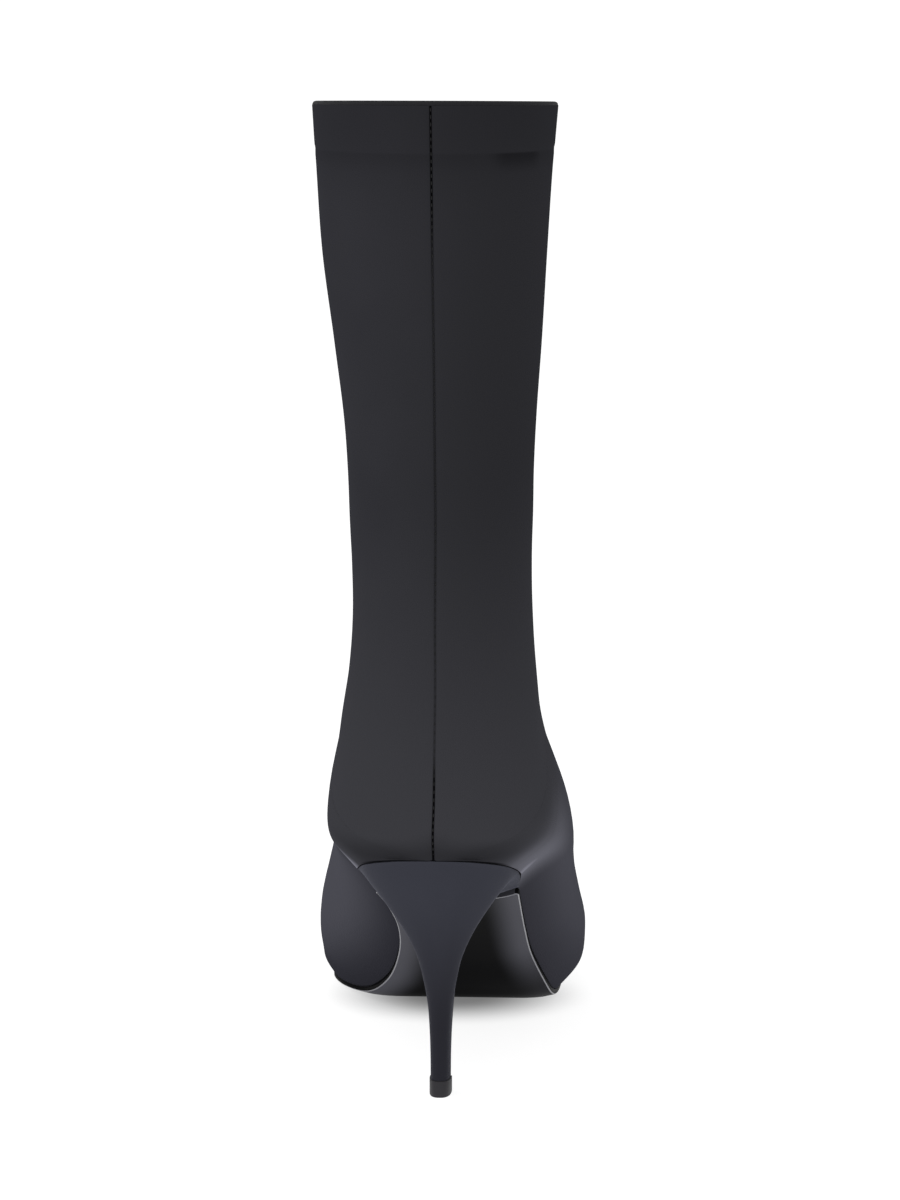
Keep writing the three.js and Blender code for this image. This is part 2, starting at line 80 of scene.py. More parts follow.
SOLE = table("along rise spring of outer inner flare", [
    (1, 0, 1, "ball", -0.096, -0.096, 0), (0.9972, 0, 0.987, "ball", -0.059, -0.133, 10),
    (0.9878, 0, 0.908, "ball", -0.016, -0.176, 30), (0.9699, 0, 0.776, "ball", 0.038, -0.23, 45),
    (0.9398, 0, 0.579, "ball", 0.11, -0.301, 50), (0.8919, 0, 0.329, "ball", 0.196, -0.389, 52),
    (0.835, 0, 0.118, "ball", 0.272, -0.461, 52), (0.774, 0, 0.013, "ball", 0.322, -0.503, 52),
    (0.713, 0, 0, "ball", 0.347, -0.514, 52), (0.652, 0, 0, "ball", 0.349, -0.465, 50),
    (0.5829, 0.026, 0, "ball", 0.336, -0.362, 45), (0.5102, 0.146, 0, "ball", 0.309, -0.268, 42),
    (0.4301, 0.327, 0, "ball", 0.27, -0.213, 42), (0.348, 0.503, 0, "ball", 0.256, -0.202, 45),
    (0.274, 0.651, 0, "heel", 0.337, -0.306, 50), (0.2089, 0.763, 0, "heel", 0.337, -0.354, 52),
    (0.148, 0.846, 0, "heel", 0.351, -0.386, 54), (0.0911, 0.91, 0, "heel", 0.329, -0.38, 50),
    (0.0431, 0.958, 0, "heel", 0.266, -0.317, 40), (0.0183, 0.982, 0, "heel", 0.186, -0.234, 30),
    (0.0065, 0.994, 0, "heel", 0.117, -0.163, 20), (0.0016, 0.998, 0, "heel", 0.054, -0.097, 11),
    (0, 1, 0, "heel", -0.021, -0.021, 0),
])

# %% Sections of the foot and of the shaft
FOOT = table("along lean of reach outer_bulge inner_bulge bulge_at crown ridge", [
    (1, 0, "ball", 0, -0.096, -0.096, 0.25, 0.55, -0.096),
    (0.9972, 28.1, "ball", 0.083, -0.037, -0.154, 0.3, 0.55, -0.096),
    (0.9878, 52.8, "ball", 0.165, 0.011, -0.202, 0.33, 0.55, -0.096),
    (0.9699, 63.4, "ball", 0.267, 0.07, -0.264, 0.35, 0.55, -0.096),
    (0.9398, 72.7, "ball", 0.386, 0.145, -0.339, 0.37, 0.52, -0.096),
    (0.8919, 77.7, "ball", 0.539, 0.239, -0.432, 0.38, 0.5, -0.095),
    (0.835, 78.4, "ball", 0.692, 0.326, -0.506, 0.38, 0.48, -0.089),
    (0.774, 78.1, "ball", 0.842, 0.385, -0.54, 0.38, 0.47, -0.085),
    (0.713, 77.7, "ball", 0.996, 0.413, -0.547, 0.38, 0.46, -0.076),
    (0.652, 75.9, "ball", 1.174, 0.432, -0.546, 0.4, 0.45, -0.065),
    (0.5829, 71.8, "ball", 1.337, 0.446, -0.541, 0.43, 0.45, -0.055),
    (0.5102, 66, "ball", 1.412, 0.434, -0.521, 0.45, 0.45, -0.048),
    (0.4301, 58.6, "ball", 1.464, 0.42, -0.483, 0.45, 0.45, -0.043),
    (0.348, 51.7, "ball", 1.589, 0.421, -0.449, 0.4, 0.45, -0.037),
    (0.274, 46.9, "heel", 0.622, 0.575, -0.574, 0.335, 0.46, -0.043),
    (0.2089, 43.7, "heel", 0.691, 0.569, -0.557, 0.275, 0.48, -0.036),
    (0.148, 41, "heel", 0.769, 0.543, -0.552, 0.248, 0.5, -0.031),
    (0.0911, 38.7, "heel", 0.852, 0.516, -0.551, 0.247, 0.5, -0.029),
    (0.0431, 36.9, "heel", 0.927, 0.497, -0.54, 0.272, 0.5, -0.026),
    (0, 36, "heel", 1, 0.479, -0.516, 0.3, 0.5, -0.023),
])
SHAFT = table("up back lean of reach seam outer_bulge inner_bulge bulge_at crown ridge", [
    (0.033, -0.029, 35.4, "heel", 1.001, -0.018, 0.463, -0.492, 0.285, 0.52, -0.021),
    (0.083, -0.05, 33.6, "heel", 0.984, -0.011, 0.446, -0.469, 0.307, 0.53, -0.02),
    (0.145, -0.044, 31.5, "heel", 0.94, -0.009, 0.424, -0.438, 0.36, 0.55, -0.019),
    (0.227, -0.001, 28.4, "ankle", 1.133, -0.011, 0.48, -0.505, 0.43, 0.55, -0.022),
    (0.302, 0.034, 25, "ankle", 1.05, -0.016, 0.473, -0.515, 0.47, 0.55, -0.02),
    (0.372, 0.044, 20.5, "ankle", 1.007, -0.016, 0.477, -0.531, 0.5, 0.55, -0.02),
    (0.442, 0.039, 15.6, "ankle", 0.994, -0.014, 0.48, -0.539, 0.5, 0.55, -0.02),
    (0.529, 0.022, 10.4, "ankle", 1.006, -0.015, 0.493, -0.557, 0.5, 0.55, -0.02),
    (0.653, -0.006, 5.6, "collar", 0.86, -0.012, 0.391, -0.457, 0.5, 0.55, -0.015),
    (0.785, -0.039, 1.7, "collar", 0.911, -0.015, 0.412, -0.504, 0.5, 0.55, -0.016),
    (0.909, -0.066, -1.1, "collar", 0.959, -0.017, 0.434, -0.527, 0.5, 0.55, -0.018),
    (1, -0.084, -3.1, "collar", 0.997, -0.019, 0.455, -0.542, 0.5, 0.55, -0.019),
])
print("sections:", len(FOOT), "of the foot and", len(SHAFT), "of the shaft")

# %% [markdown]
# ## Smooth curves through the sections
# A curve that passes through every row keeps the boot's measures. The rows lie at uneven distances, so
# the curve is told how far apart they are, or it would ripple where they crowd together round the heel.


# %% The curve and the sole line
def smooth(values, places, t):
    values, places, t = np.asarray(values, float), np.asarray(places, float), np.asarray(t, float)
    i = np.clip(np.floor(t).astype(int), 0, len(values) - 2)
    u = t - i
    step = np.diff(places)
    slope = np.diff(values) / step
    tangent = np.empty(len(values))
    tangent[0], tangent[-1] = slope[0], slope[-1]
    tangent[1:-1] = (slope[:-1] * step[1:] + slope[1:] * step[:-1]) / (step[1:] + step[:-1])
    return (
        (2 * u**3 - 3 * u**2 + 1) * values[i] + (u**3 - 2 * u**2 + u) * tangent[i] * step[i]
        + (3 * u**2 - 2 * u**3) * values[i + 1] + (u**3 - u**2) * tangent[i + 1] * step[i]
    )


sole_places = np.array([(1 - row["along"]) * sole_length for row in SOLE])
sole_rows = {
    "z": [tread_level + row["rise"] * heel_rise + row["spring"] * toe_spring for row in SOLE],
    "outer": [row["outer"] * GIRTHS[row["of"]][0] for row in SOLE],
    "inner": [row["inner"] * GIRTHS[row["of"]][0] for row in SOLE],
    "flare": [row["flare"] for row in SOLE],
}


def sole_at(y):
    place = np.clip(sole_length - heel_set - np.asarray(y, float), 0, sole_length)
    i = np.clip(np.searchsorted(sole_places, place, side="right") - 1, 0, len(SOLE) - 2)
    t = i + (place - sole_places[i]) / (sole_places[i + 1] - sole_places[i])
    return {name: smooth(values, sole_places, t) for name, values in sole_rows.items()}


# %% The sections as lengths
def measured(row, y, z):
    width, depth = GIRTHS[row["of"]]
    lean = math.radians(row["lean"])
    reach = row["reach"] * depth
    return {
        "y": y, "z": z, "top_y": y + reach * math.cos(lean), "top_z": z + reach * math.sin(lean),
        "seam": row.get("seam", SHAFT[0]["seam"]) * width,
        "outer_bulge": row["outer_bulge"] * width, "inner_bulge": row["inner_bulge"] * width,
        "bulge_at": row["bulge_at"], "crown": row["crown"], "ridge": row["ridge"] * width,
    }


rows = [
    measured(row, y, float(sole_at(y)["z"]))
    for row in FOOT for y in [row["along"] * sole_length - heel_set]
] + [
    measured(row, row["back"] * collar_depth - heel_set, heel_height + row["up"] * shaft_height)
    for row in SHAFT
]
seat_back, collar = len(FOOT) - 1, len(rows) - 1
middles = np.array([((r["y"] + r["top_y"]) / 2, (r["z"] + r["top_z"]) / 2) for r in rows])
places = np.concatenate([[0], np.cumsum(np.hypot(*np.diff(middles, axis=0).T))])


def sections(t):
    t = np.asarray(t, float)
    on_foot = t <= seat_back
    made = {}
    for name in rows[0]:
        values = [row[name] for row in rows]
        if name in ("y", "z", "seam"):
            foot = smooth(values[:seat_back + 1], places[:seat_back + 1], np.minimum(t, seat_back))
            shaft = smooth(values[seat_back:], places[seat_back:], np.maximum(t, seat_back) - seat_back)
            made[name] = np.where(on_foot, foot, shaft)
        else:
            made[name] = smooth(values, places, t)
    sole = sole_at(made["y"])
    made["z"] = np.where(on_foot, sole["z"], made["z"])
    made["outer"] = np.where(on_foot, sole["outer"], made["seam"])
    made["inner"] = np.where(on_foot, sole["inner"], made["seam"])
    made["flare"] = np.where(on_foot, np.radians(sole["flare"]), 0)
    made["at"] = np.interp(t, np.arange(len(places)), places)
    return made


print("boot from sole to collar along its middle: %.0f mm" % places[-1])

# %% [markdown]
# ## A surface drawn over the last
# Each section's outline is two curves a side: from the sole's edge, or the back seam, out to the widest
# place, and from there over the top. Points are closer together by the seam, where the surface will
# need a fine groove.

# %% Outline of a section
near_seam = [0, 0.004, 0.009, 0.015, 0.023, 0.034, 0.05, 0.075, 0.11, 0.16]
LOWER = np.array(near_seam + list(np.linspace(0.22, 1, 14)))
UPPER = np.linspace(0, 1, 25)[1:]


def curve(p0, p1, p2, p3, u):
    u = u[:, None, None]
    return (1 - u) ** 3 * p0 + 3 * u * (1 - u) ** 2 * p1 + 3 * u**2 * (1 - u) * p2 + u**3 * p3


def outlines(s, inset=0.0):
    """Points of each section as (x across, h along it), outer side first, and h's own direction."""
    across, lift = s["top_y"] - s["y"], s["top_z"] - s["z"]
    reach = np.hypot(across, lift) + 1e-9
    run = np.stack([np.zeros_like(reach), across / reach, lift / reach], -1)
    low, high = np.zeros_like(reach) + inset, reach - inset
    bulge = low + s["bulge_at"] * (high - low)
    round_handle = 0.5523

    def side(edge, widest):
        out = np.where(widest >= s["ridge"], 1.0, -1.0)
        edge = edge - np.where(s["outer"] > s["inner"] + 1e-6, out * inset, 0)
        wide = widest - out * inset
        level, rise = np.cos(s["flare"]), np.sin(s["flare"])
        pull = round_handle * (np.abs(wide - edge) * level + (bulge - low) * rise)
        start = np.array([edge, low])
        swell = np.array([edge + out * pull * level, low + pull * rise])
        girth = np.array([wide, bulge])
        below = np.array([wide, bulge - round_handle * (bulge - low)])
        lower = curve(start, swell, below, girth, LOWER)
        crown = np.array([s["ridge"] + s["crown"] * (wide - s["ridge"]), high])
        top = np.array([s["ridge"], high])
        above = np.array([wide, bulge + round_handle * (high - bulge)])
        upper = curve(girth, above, crown, top, UPPER)
        return np.concatenate([lower, upper])

    outer_side, inner_side = side(s["outer"], s["outer_bulge"]), side(s["inner"], s["inner_bulge"])
    return np.concatenate([outer_side, inner_side[::-1][1:]]).transpose(2, 0, 1), run


def placed(s, xh, run):
    start = np.stack([np.zeros_like(s["y"]), s["y"], s["z"]], -1)
    points = start[:, None, :] + xh[:, :, 1:2] * run[:, None, :]
    points[:, :, 0] += xh[:, :, 0]
    return points

# %% [markdown]
# ## Making meshes
# A grid of points becomes a mesh of four-sided faces. Every vertex also keeps its place on the cloth in
# real millimetres, round the boot and along it, as a UV map, so that a knit or a seam can follow the
# piece.


# %% Grids to meshes
def grid_faces(n_rows, n_columns, closed):
    across = n_columns if closed else n_columns - 1
    i, j = np.meshgrid(np.arange(n_rows - 1), np.arange(across), indexing="ij")
    k = (j + 1) % n_columns
    a, b = i * n_columns + j, i * n_columns + k
    return np.stack([a, b, b + n_columns, a + n_columns], -1).reshape(-1, 4)


def build(name, grids, materials, merge=0.02):
    """One object from grids of (points, cloth places, closed, material numbers, flipped), in mm."""
    points, faces, cloth, slots, base = [], [], [], [], 0
    for grid, uv, closed, slot, flipped in grids:
        n_rows, n_columns = grid.shape[:2]
        quads = grid_faces(n_rows, n_columns, closed) + base
        faces.append(quads[:, ::-1] if flipped else quads)
        slots.append(np.broadcast_to(slot, (n_rows - 1, len(quads) // (n_rows - 1))).ravel())
        points.append(grid.reshape(-1, 3))
        cloth.append(uv.reshape(-1, 2))
        base += n_rows * n_columns
    points, cloth = np.concatenate(points), np.concatenate(cloth)
    mesh = bpy.data.meshes.new(name)
    mesh.from_pydata((points * MM).tolist(), [], np.concatenate(faces).tolist())
    mesh.polygons.foreach_set("material_index", np.concatenate(slots).astype(np.int32))
    layer = mesh.uv_layers.new(name="cloth")
    corners = np.empty(len(mesh.loops), np.int32)
    mesh.loops.foreach_get("vertex_index", corners)
    layer.data.foreach_set("uv", cloth[corners].ravel())
    for material in materials:
        mesh.materials.append(material)
    bm = bmesh.new()
    bm.from_mesh(mesh)
    bmesh.ops.remove_doubles(bm, verts=bm.verts, dist=merge * MM)
    bmesh.ops.dissolve_degenerate(bm, dist=merge * MM, edges=bm.edges)
    for face in bm.faces:
        face.smooth = True
    bm.to_mesh(mesh)
    bm.free()
    piece = bpy.data.objects.new(name, mesh)
    bpy.context.scene.collection.objects.link(piece)
    print("%s: %d faces" % (name, len(mesh.polygons)))
    return piece


def inward(xh):
    """For each outline point, the unit direction into the boot, within its section."""
    along = np.gradient(xh, axis=1)
    normal = np.stack([-along[:, :, 1], along[:, :, 0]], -1)
    return normal / (np.linalg.norm(normal, axis=2, keepdims=True) + 1e-9)


top_column = len(LOWER) + len(UPPER) - 1


def girth_places(xh):
    """Distance round each section from the back seam or the sole's edge, outer side positive."""
    step = np.linalg.norm(np.diff(xh, axis=1), axis=2)
    round_boot = np.concatenate([np.zeros((len(xh), 1)), np.cumsum(step, axis=1)], axis=1)
    return np.where(np.arange(xh.shape[1]) <= top_column, round_boot, round_boot - round_boot[:, -1:])


def halves(points, round_boot, at, slot):
    """The outer and the inner half of a skin as two grids that meet along the top of the foot."""
    along = np.broadcast_to(at[:, None], round_boot.shape)
    cloth = np.stack([round_boot, along], -1)
    inner = cloth[:, top_column:].copy()
    ahead = np.linalg.norm(points[:, top_column + 1] - points[:, top_column], axis=1)
    inner[:, 0, 0] = inner[:, 1, 0] - ahead
    return [
        (points[:, :top_column + 1], cloth[:, :top_column + 1], False, slot, False),
        (points[:, top_column:], inner, False, slot, False),
    ]

# %% [markdown]
# ## Colours and a helper for finishes
# Colours are read off cloth and leather as sRGB hex values, which is how a screen shows them. The
# shader reckons in linear light, so one function turns them over. One more small function adds a node
# with its settings and links.


# %% Colours and nodes
def linear(hex_colour, alpha=1.0):
    channels = [int(hex_colour[i:i + 2], 16) / 255 for i in (1, 3, 5)]
    return (*[c / 12.92 if c <= 0.04045 else ((c + 0.055) / 1.055) ** 2.4 for c in channels], alpha)


def material(name, colour, **shader_values):
    made = bpy.data.materials.new(name)
    made.use_nodes = True
    shader = made.node_tree.nodes["Principled BSDF"]
    shader.inputs["Base Color"].default_value = linear(colour)
    for socket, value in shader_values.items():
        shader.inputs[socket.replace("_", " ")].default_value = value
    return made, shader


def node(owner, kind, inputs=(), out=0, **settings):
    """Adds one node and gives back one output. inputs maps a socket to a value or an output."""
    added = owner.node_tree.nodes.new(kind)
    for name, value in settings.items():
        setattr(added, name, value)
    for name, value in dict(inputs).items():
        if isinstance(value, bpy.types.NodeSocket):
            owner.node_tree.links.new(value, added.inputs[name])
        else:
            added.inputs[name].default_value = value
    return added.outputs[out]


def plug(owner, shader, socket, output):
    owner.node_tree.links.new(output, shader.inputs[socket])


MAP_RANGE, MATH, MIX = "ShaderNodeMapRange", "ShaderNodeMath", "ShaderNodeMix"
NOISE, BUMP = "ShaderNodeTexNoise", "ShaderNodeBump"
soft_step = {"interpolation_type": "SMOOTHSTEP"}
colours = {"data_type": "RGBA", "out": 2}

# %% [markdown]
# ## Stretch jersey
# The cloth is a double-faced polyester and elastane knit, dyed charcoal and lightly raised. Its loops
# scatter light, so the eye sees a matt dark surface with no mirror edge at all, and a very fine rib.
# The rib could be modelled, but it is finer than a picture's dot, so it is a bump that follows the
# cloth's own millimetres. The true rib is about 0.4 mm wide and is drawn at 0.8 mm, because nothing
# finer would show.


# %% A knit's relief
def cloth_places(owner):
    """The cloth's own millimetres: both together, round the boot, and along it."""
    both = node(owner, "ShaderNodeUVMap", uv_map="cloth")
    around = node(owner, "ShaderNodeSeparateXYZ", {0: both})
    return both, around, around.node.outputs[1]


def knit_relief(owner, rib_mm, depth_mm, nap_mm):
    both, around, along = cloth_places(owner)
    wale_turn = node(owner, MATH, {0: around, 1: 2 * math.pi / rib_mm}, operation="MULTIPLY")
    wale = node(owner, MATH, {0: wale_turn}, operation="SINE")
    course_mm = rib_mm * 0.75
    course_turn = node(owner, MATH, {0: along, 1: 2 * math.pi / course_mm}, operation="MULTIPLY")
    course = node(owner, MATH, {0: course_turn}, operation="SINE")
    loops = node(owner, MATH, {0: course, 1: 0.5, 2: wale}, operation="MULTIPLY_ADD")
    knitted = node(owner, BUMP, {"Height": loops, "Distance": depth_mm * MM, "Strength": 1.0})
    hairs = node(owner, NOISE, {"Vector": both, "Scale": 1.3, "Detail": 2.0})
    return node(owner, BUMP, {
        "Height": hairs, "Distance": nap_mm * MM, "Strength": 1.0, "Normal": knitted,
    })

# %% [markdown]
# ## How the jersey is dyed, with painted light and shade
# On the shaft the cloth hangs at its own width. Over the counter and the last it is stretched, and there
# the colour is painted paler and bluer: painted light over the heel cup, and on the foot painted light
# towards its top and its widest place, with painted shade towards the sole's edge and on the inner side.
# The outer flank is a shade darker and the cloth darkens towards the collar, both painted shade. A faint
# cloud keeps the dye from looking printed. Dark cloth gets no specular at all, or its turning sides would
# shine.

# %% Jersey colour
stretch_jersey, jersey = material(
    "stretch_jersey_raised", "#28282b", Roughness=0.85, Specular_IOR_Level=0.0, Sheen_Weight=0.02,
    Sheen_Roughness=0.5, Sheen_Tint=linear("#b9bccb"),
)
plug(stretch_jersey, jersey, "Normal", knit_relief(stretch_jersey, 0.8, 0.012, 0.05))
_, around, along = cloth_places(stretch_jersey)
seat_place, collar_place = float(places[seat_back]), float(places[-1])
on_boot = node(stretch_jersey, "ShaderNodeTexCoord", out="Object")
cloud = node(stretch_jersey, NOISE, {"Vector": on_boot, "Scale": 22.0, "Detail": 2.0})
dye_cloud = node(stretch_jersey, MAP_RANGE, {0: cloud, 1: 0.3, 2: 0.7}, **soft_step)
clouded = node(
    stretch_jersey, MIX, {0: dye_cloud, 6: linear("#2c2c30"), 7: linear("#2f2f33")}, **colours,
)
# Painted shade: the boot's outer flank is darkened across its X position.
inner_flank, outer_flank = -32 * MM, 26 * MM
on_side = node(stretch_jersey, "ShaderNodeSeparateXYZ", {0: on_boot}, out="X")
painted_side_shade = node(stretch_jersey, MAP_RANGE, {0: on_side, 1: inner_flank, 2: outer_flank}, **soft_step)
dyed_and_side_shaded = node(stretch_jersey, MIX, {0: painted_side_shade, 6: clouded, 7: linear("#29292c")}, **colours)
# Painted shade: the shaft darkens over its last 38 mm towards the collar.
painted_collar_shade = node(
    stretch_jersey, MAP_RANGE, {0: along, 1: collar_place - 38, 2: collar_place, 4: 0.4}, **soft_step,
)
shaft_colour = node(stretch_jersey, MIX, {0: painted_collar_shade, 6: dyed_and_side_shaded, 7: linear("#202023")}, **colours)
print("jersey nodes for the shaft:", len(stretch_jersey.node_tree.nodes))

# %% Jersey colour over the counter and the last: painted light and shade
# Painted light: the heel cup is lighter over the counter.
painted_cup_light = node(
    stretch_jersey, MAP_RANGE, {0: along, 1: seat_place + 8, 2: seat_place + 100, 3: 1, 4: 0}, **soft_step,
)
with_painted_cup_light = node(
    stretch_jersey, MIX, {0: painted_cup_light, 6: shaft_colour, 7: linear("#38383c")}, **colours,
)
# Painted light and shade on the foot: lighter towards its top and away from the sole's edge, darker near
# the edge, darker still on the inner side.
on_foot = node(
    stretch_jersey, MAP_RANGE, {0: along, 1: seat_place - 55, 2: seat_place - 12, 3: 1, 4: 0}, **soft_step,
)
from_edge = node(stretch_jersey, MATH, {0: around}, operation="ABSOLUTE")
at_widest = node(stretch_jersey, MAP_RANGE, {0: from_edge, 1: 0, 2: 26}, **soft_step)
outer_side = node(stretch_jersey, MATH, {0: around, 1: 0.0}, operation="GREATER_THAN")
edge_shade_colour = node(
    stretch_jersey, MIX, {0: outer_side, 6: linear("#2a2a30"), 7: linear("#323238")}, **colours,
)
off_floor = node(stretch_jersey, "ShaderNodeSeparateXYZ", {0: on_boot}, out="Z")
well_up = node(stretch_jersey, MAP_RANGE, {0: off_floor, 1: -10 * MM, 2: 40 * MM}, **soft_step)
painted_foot_light = node(stretch_jersey, MATH, {0: at_widest, 1: well_up}, operation="MULTIPLY")
foot_colour = node(stretch_jersey, MIX, {0: painted_foot_light, 6: edge_shade_colour, 7: linear("#46464d")}, **colours)
with_painted_foot_light = node(
    stretch_jersey, MIX, {0: on_foot, 6: with_painted_cup_light, 7: foot_colour}, **colours,
)

# %% A painted highlight over the counter's lower edge
# Painted highlight: a narrow bright streak where the cloth turns under along the counter's lower edge.
# The counter's outer wing is longer and taller, so its end lies further forward there, under a wide soft
# painted glow.
counter_end, wing_ahead, break_rise, wing_rise = seat_place - 21, 5, 17, 48
to_break = node(stretch_jersey, MATH, {0: along, 1: counter_end}, operation="SUBTRACT")
from_wing = node(
    stretch_jersey, MATH, {0: outer_side, 1: wing_ahead, 2: to_break}, operation="MULTIPLY_ADD",
)
off_break = node(stretch_jersey, MATH, {0: from_wing}, operation="ABSOLUTE")
on_break = node(stretch_jersey, MAP_RANGE, {0: off_break, 1: 0, 2: 5.5, 3: 1, 4: 0}, **soft_step)
by_wing = node(stretch_jersey, MAP_RANGE, {0: off_break, 1: 0, 2: 25, 3: 0.55, 4: 0}, **soft_step)
low_down = node(stretch_jersey, MAP_RANGE, {0: from_edge, 1: 2, 2: break_rise, 3: 1, 4: 0}, **soft_step)
sharp_break = node(stretch_jersey, MATH, {0: on_break, 1: low_down}, operation="MULTIPLY")
on_wing = node(stretch_jersey, MAP_RANGE, {0: around, 1: wing_rise, 2: 4, 3: 0, 4: 1}, **soft_step)
under_wing = node(stretch_jersey, MATH, {0: on_wing, 1: outer_side}, operation="MULTIPLY")
wing_glow = node(stretch_jersey, MATH, {0: by_wing, 1: under_wing}, operation="MULTIPLY")
painted_highlight = node(stretch_jersey, MATH, {0: sharp_break, 1: wing_glow}, operation="MAXIMUM")
with_painted_highlight = node(stretch_jersey, MIX, {0: painted_highlight, 6: with_painted_foot_light, 7: linear("#787882")}, **colours)

# %% Painted shade where the cloth turns under the heel
# Painted shade: the last few millimetres above the heel turn under it and are darkened there, and a thin
# dark line marks the joint at the heel's seat.
above_seat = node(stretch_jersey, MATH, {0: along, 1: seat_place}, operation="SUBTRACT")
on_back = node(stretch_jersey, MATH, {0: above_seat, 1: 0.0}, operation="MAXIMUM")
above_edge = node(stretch_jersey, MATH, {0: from_edge, 1: 0.45, 2: on_back}, operation="MULTIPLY_ADD")
shade_as_it_turns = node(stretch_jersey, MAP_RANGE, {0: above_edge, 1: 2, 2: 12, 3: 0.42, 4: 0}, **soft_step)
in_joint = node(stretch_jersey, MAP_RANGE, {0: above_edge, 1: 0.3, 2: 0.9, 3: 1, 4: 0}, **soft_step)
turn_shade_and_joint = node(stretch_jersey, MATH, {0: shade_as_it_turns, 1: in_joint}, operation="MAXIMUM")
by_heel = node(stretch_jersey, MAP_RANGE, {0: above_seat, 1: -16, 2: -6}, **soft_step)
painted_turn_shade = node(stretch_jersey, MATH, {0: turn_shade_and_joint, 1: by_heel}, operation="MULTIPLY")
with_painted_turn_shade = node(stretch_jersey, MIX, {0: painted_turn_shade, 6: with_painted_highlight, 7: linear("#0a0a0c")}, **colours)

# %% The seam's painted shadow and the painted shade below the hem
# The seam's painted shadow is darkest at the collar and over the counter, and faint between them. From
# the heel's breast back, the same mask darkens a thin joint line along the seat's edge.
in_seam = node(stretch_jersey, MAP_RANGE, {0: from_edge, 1: 0.22, 2: 0.55, 3: 1, 4: 0}, **soft_step)
heel_breast_place = seat_place - 38
seam_and_seat = node(
    stretch_jersey, MAP_RANGE, {0: along, 1: heel_breast_place, 2: heel_breast_place + 2}, **soft_step,
)
low_seam = node(stretch_jersey, MAP_RANGE, {0: above_seat, 1: 22, 2: 31, 3: 1, 4: 0.35}, **soft_step)
high_seam = node(
    stretch_jersey, MAP_RANGE, {0: along, 1: collar_place - 54, 2: collar_place - 26, 3: 0.35, 4: 1},
    **soft_step,
)
seam_shadow_depth = node(stretch_jersey, MATH, {0: low_seam, 1: high_seam}, operation="MAXIMUM")
seam_line = node(stretch_jersey, MATH, {0: in_seam, 1: seam_and_seat}, operation="MULTIPLY")
seam_shade = node(stretch_jersey, MATH, {0: seam_line, 1: seam_shadow_depth}, operation="MULTIPLY")
with_seam = node(stretch_jersey, MIX, {0: seam_shade, 6: with_painted_turn_shade, 7: linear("#070708")}, **colours)
hem_place = collar_place - hem_height + 2
below_hem = node(stretch_jersey, MAP_RANGE, {0: along, 1: hem_place - 7, 2: hem_place - 0.4}, **soft_step)
above_hem = node(
    stretch_jersey, MAP_RANGE, {0: along, 1: hem_place - 0.4, 2: hem_place + 0.4, 3: 1, 4: 0}, **soft_step,
)
hem_line = node(stretch_jersey, MATH, {0: below_hem, 1: above_hem}, operation="MULTIPLY")
hem_starts = node(stretch_jersey, MAP_RANGE, {0: around, 1: 18, 2: 27, 3: 0.12, 4: 0.5}, **soft_step)
hem_fades = node(stretch_jersey, MAP_RANGE, {0: around, 1: 41, 2: 49, 3: 1, 4: 0.25}, **soft_step)
hem_depth = node(stretch_jersey, MATH, {0: hem_starts, 1: hem_fades}, operation="MULTIPLY")
hem_shade = node(stretch_jersey, MATH, {0: hem_line, 1: hem_depth}, operation="MULTIPLY")
with_hem = node(stretch_jersey, MIX, {0: hem_shade, 6: with_seam, 7: linear("#0a0a0b")}, **colours)
plug(stretch_jersey, jersey, "Base Color", with_hem)
print("jersey nodes:", len(stretch_jersey.node_tree.nodes))

# %% [markdown]
# ## The boot's other cloths
# The lining is a plain warp knit and matt. The heel's cover is the same jersey pulled tight and glued,
# so its face is smoother, a little bluer, and takes more light where it turns over the block's edges.

# %% Lining, heel cover and thread
lining_tricot, lining = material("warp_knit_lining", "#1c1c1f", Roughness=0.85, Specular_IOR_Level=0.2)
plug(lining_tricot, lining, "Normal", knit_relief(lining_tricot, 1.1, 0.02, 0.06))
tricot_both, _, _ = cloth_places(lining_tricot)
tricot_cloud = node(lining_tricot, NOISE, {"Vector": tricot_both, "Scale": 0.09, "Detail": 2.0})
plug(lining_tricot, lining, "Base Color", node(
    lining_tricot, MIX, {0: tricot_cloud, 6: linear("#1a1a1d"), 7: linear("#202023")}, **colours,
))

heel_cloth_tight, cover = material(
    "jersey_drawn_tight_and_glued", "#36373f", Roughness=0.6, Specular_IOR_Level=0.01, Sheen_Weight=0.14,
    Sheen_Roughness=0.25, Sheen_Tint=linear("#b4b8cc"),
)
plug(heel_cloth_tight, cover, "Normal", knit_relief(heel_cloth_tight, 0.9, 0.008, 0.03))
heel_both, _, heel_up = cloth_places(heel_cloth_tight)
heel_cloud = node(heel_cloth_tight, NOISE, {"Vector": heel_both, "Scale": 0.05, "Detail": 2.0})
heel_dyed = node(
    heel_cloth_tight, MIX, {0: heel_cloud, 6: linear("#35363e"), 7: linear("#393a42")}, **colours,
)
down_stem = node(heel_cloth_tight, MAP_RANGE, {0: heel_up, 1: 20, 2: 72, 3: 1, 4: 0}, **soft_step)
plug(heel_cloth_tight, cover, "Base Color", node(
    heel_cloth_tight, MIX, {0: down_stem, 6: heel_dyed, 7: linear("#2a2a30")}, **colours,
))

seam_thread, thread = material("polyester_thread_twisted", "#0b0b0d", Roughness=0.6, Specular_IOR_Level=0.3)
twist = node(seam_thread, NOISE, {"Scale": 4000.0})
plug(seam_thread, thread, "Normal", node(seam_thread, BUMP, {"Height": twist, "Distance": 0.02 * MM}))

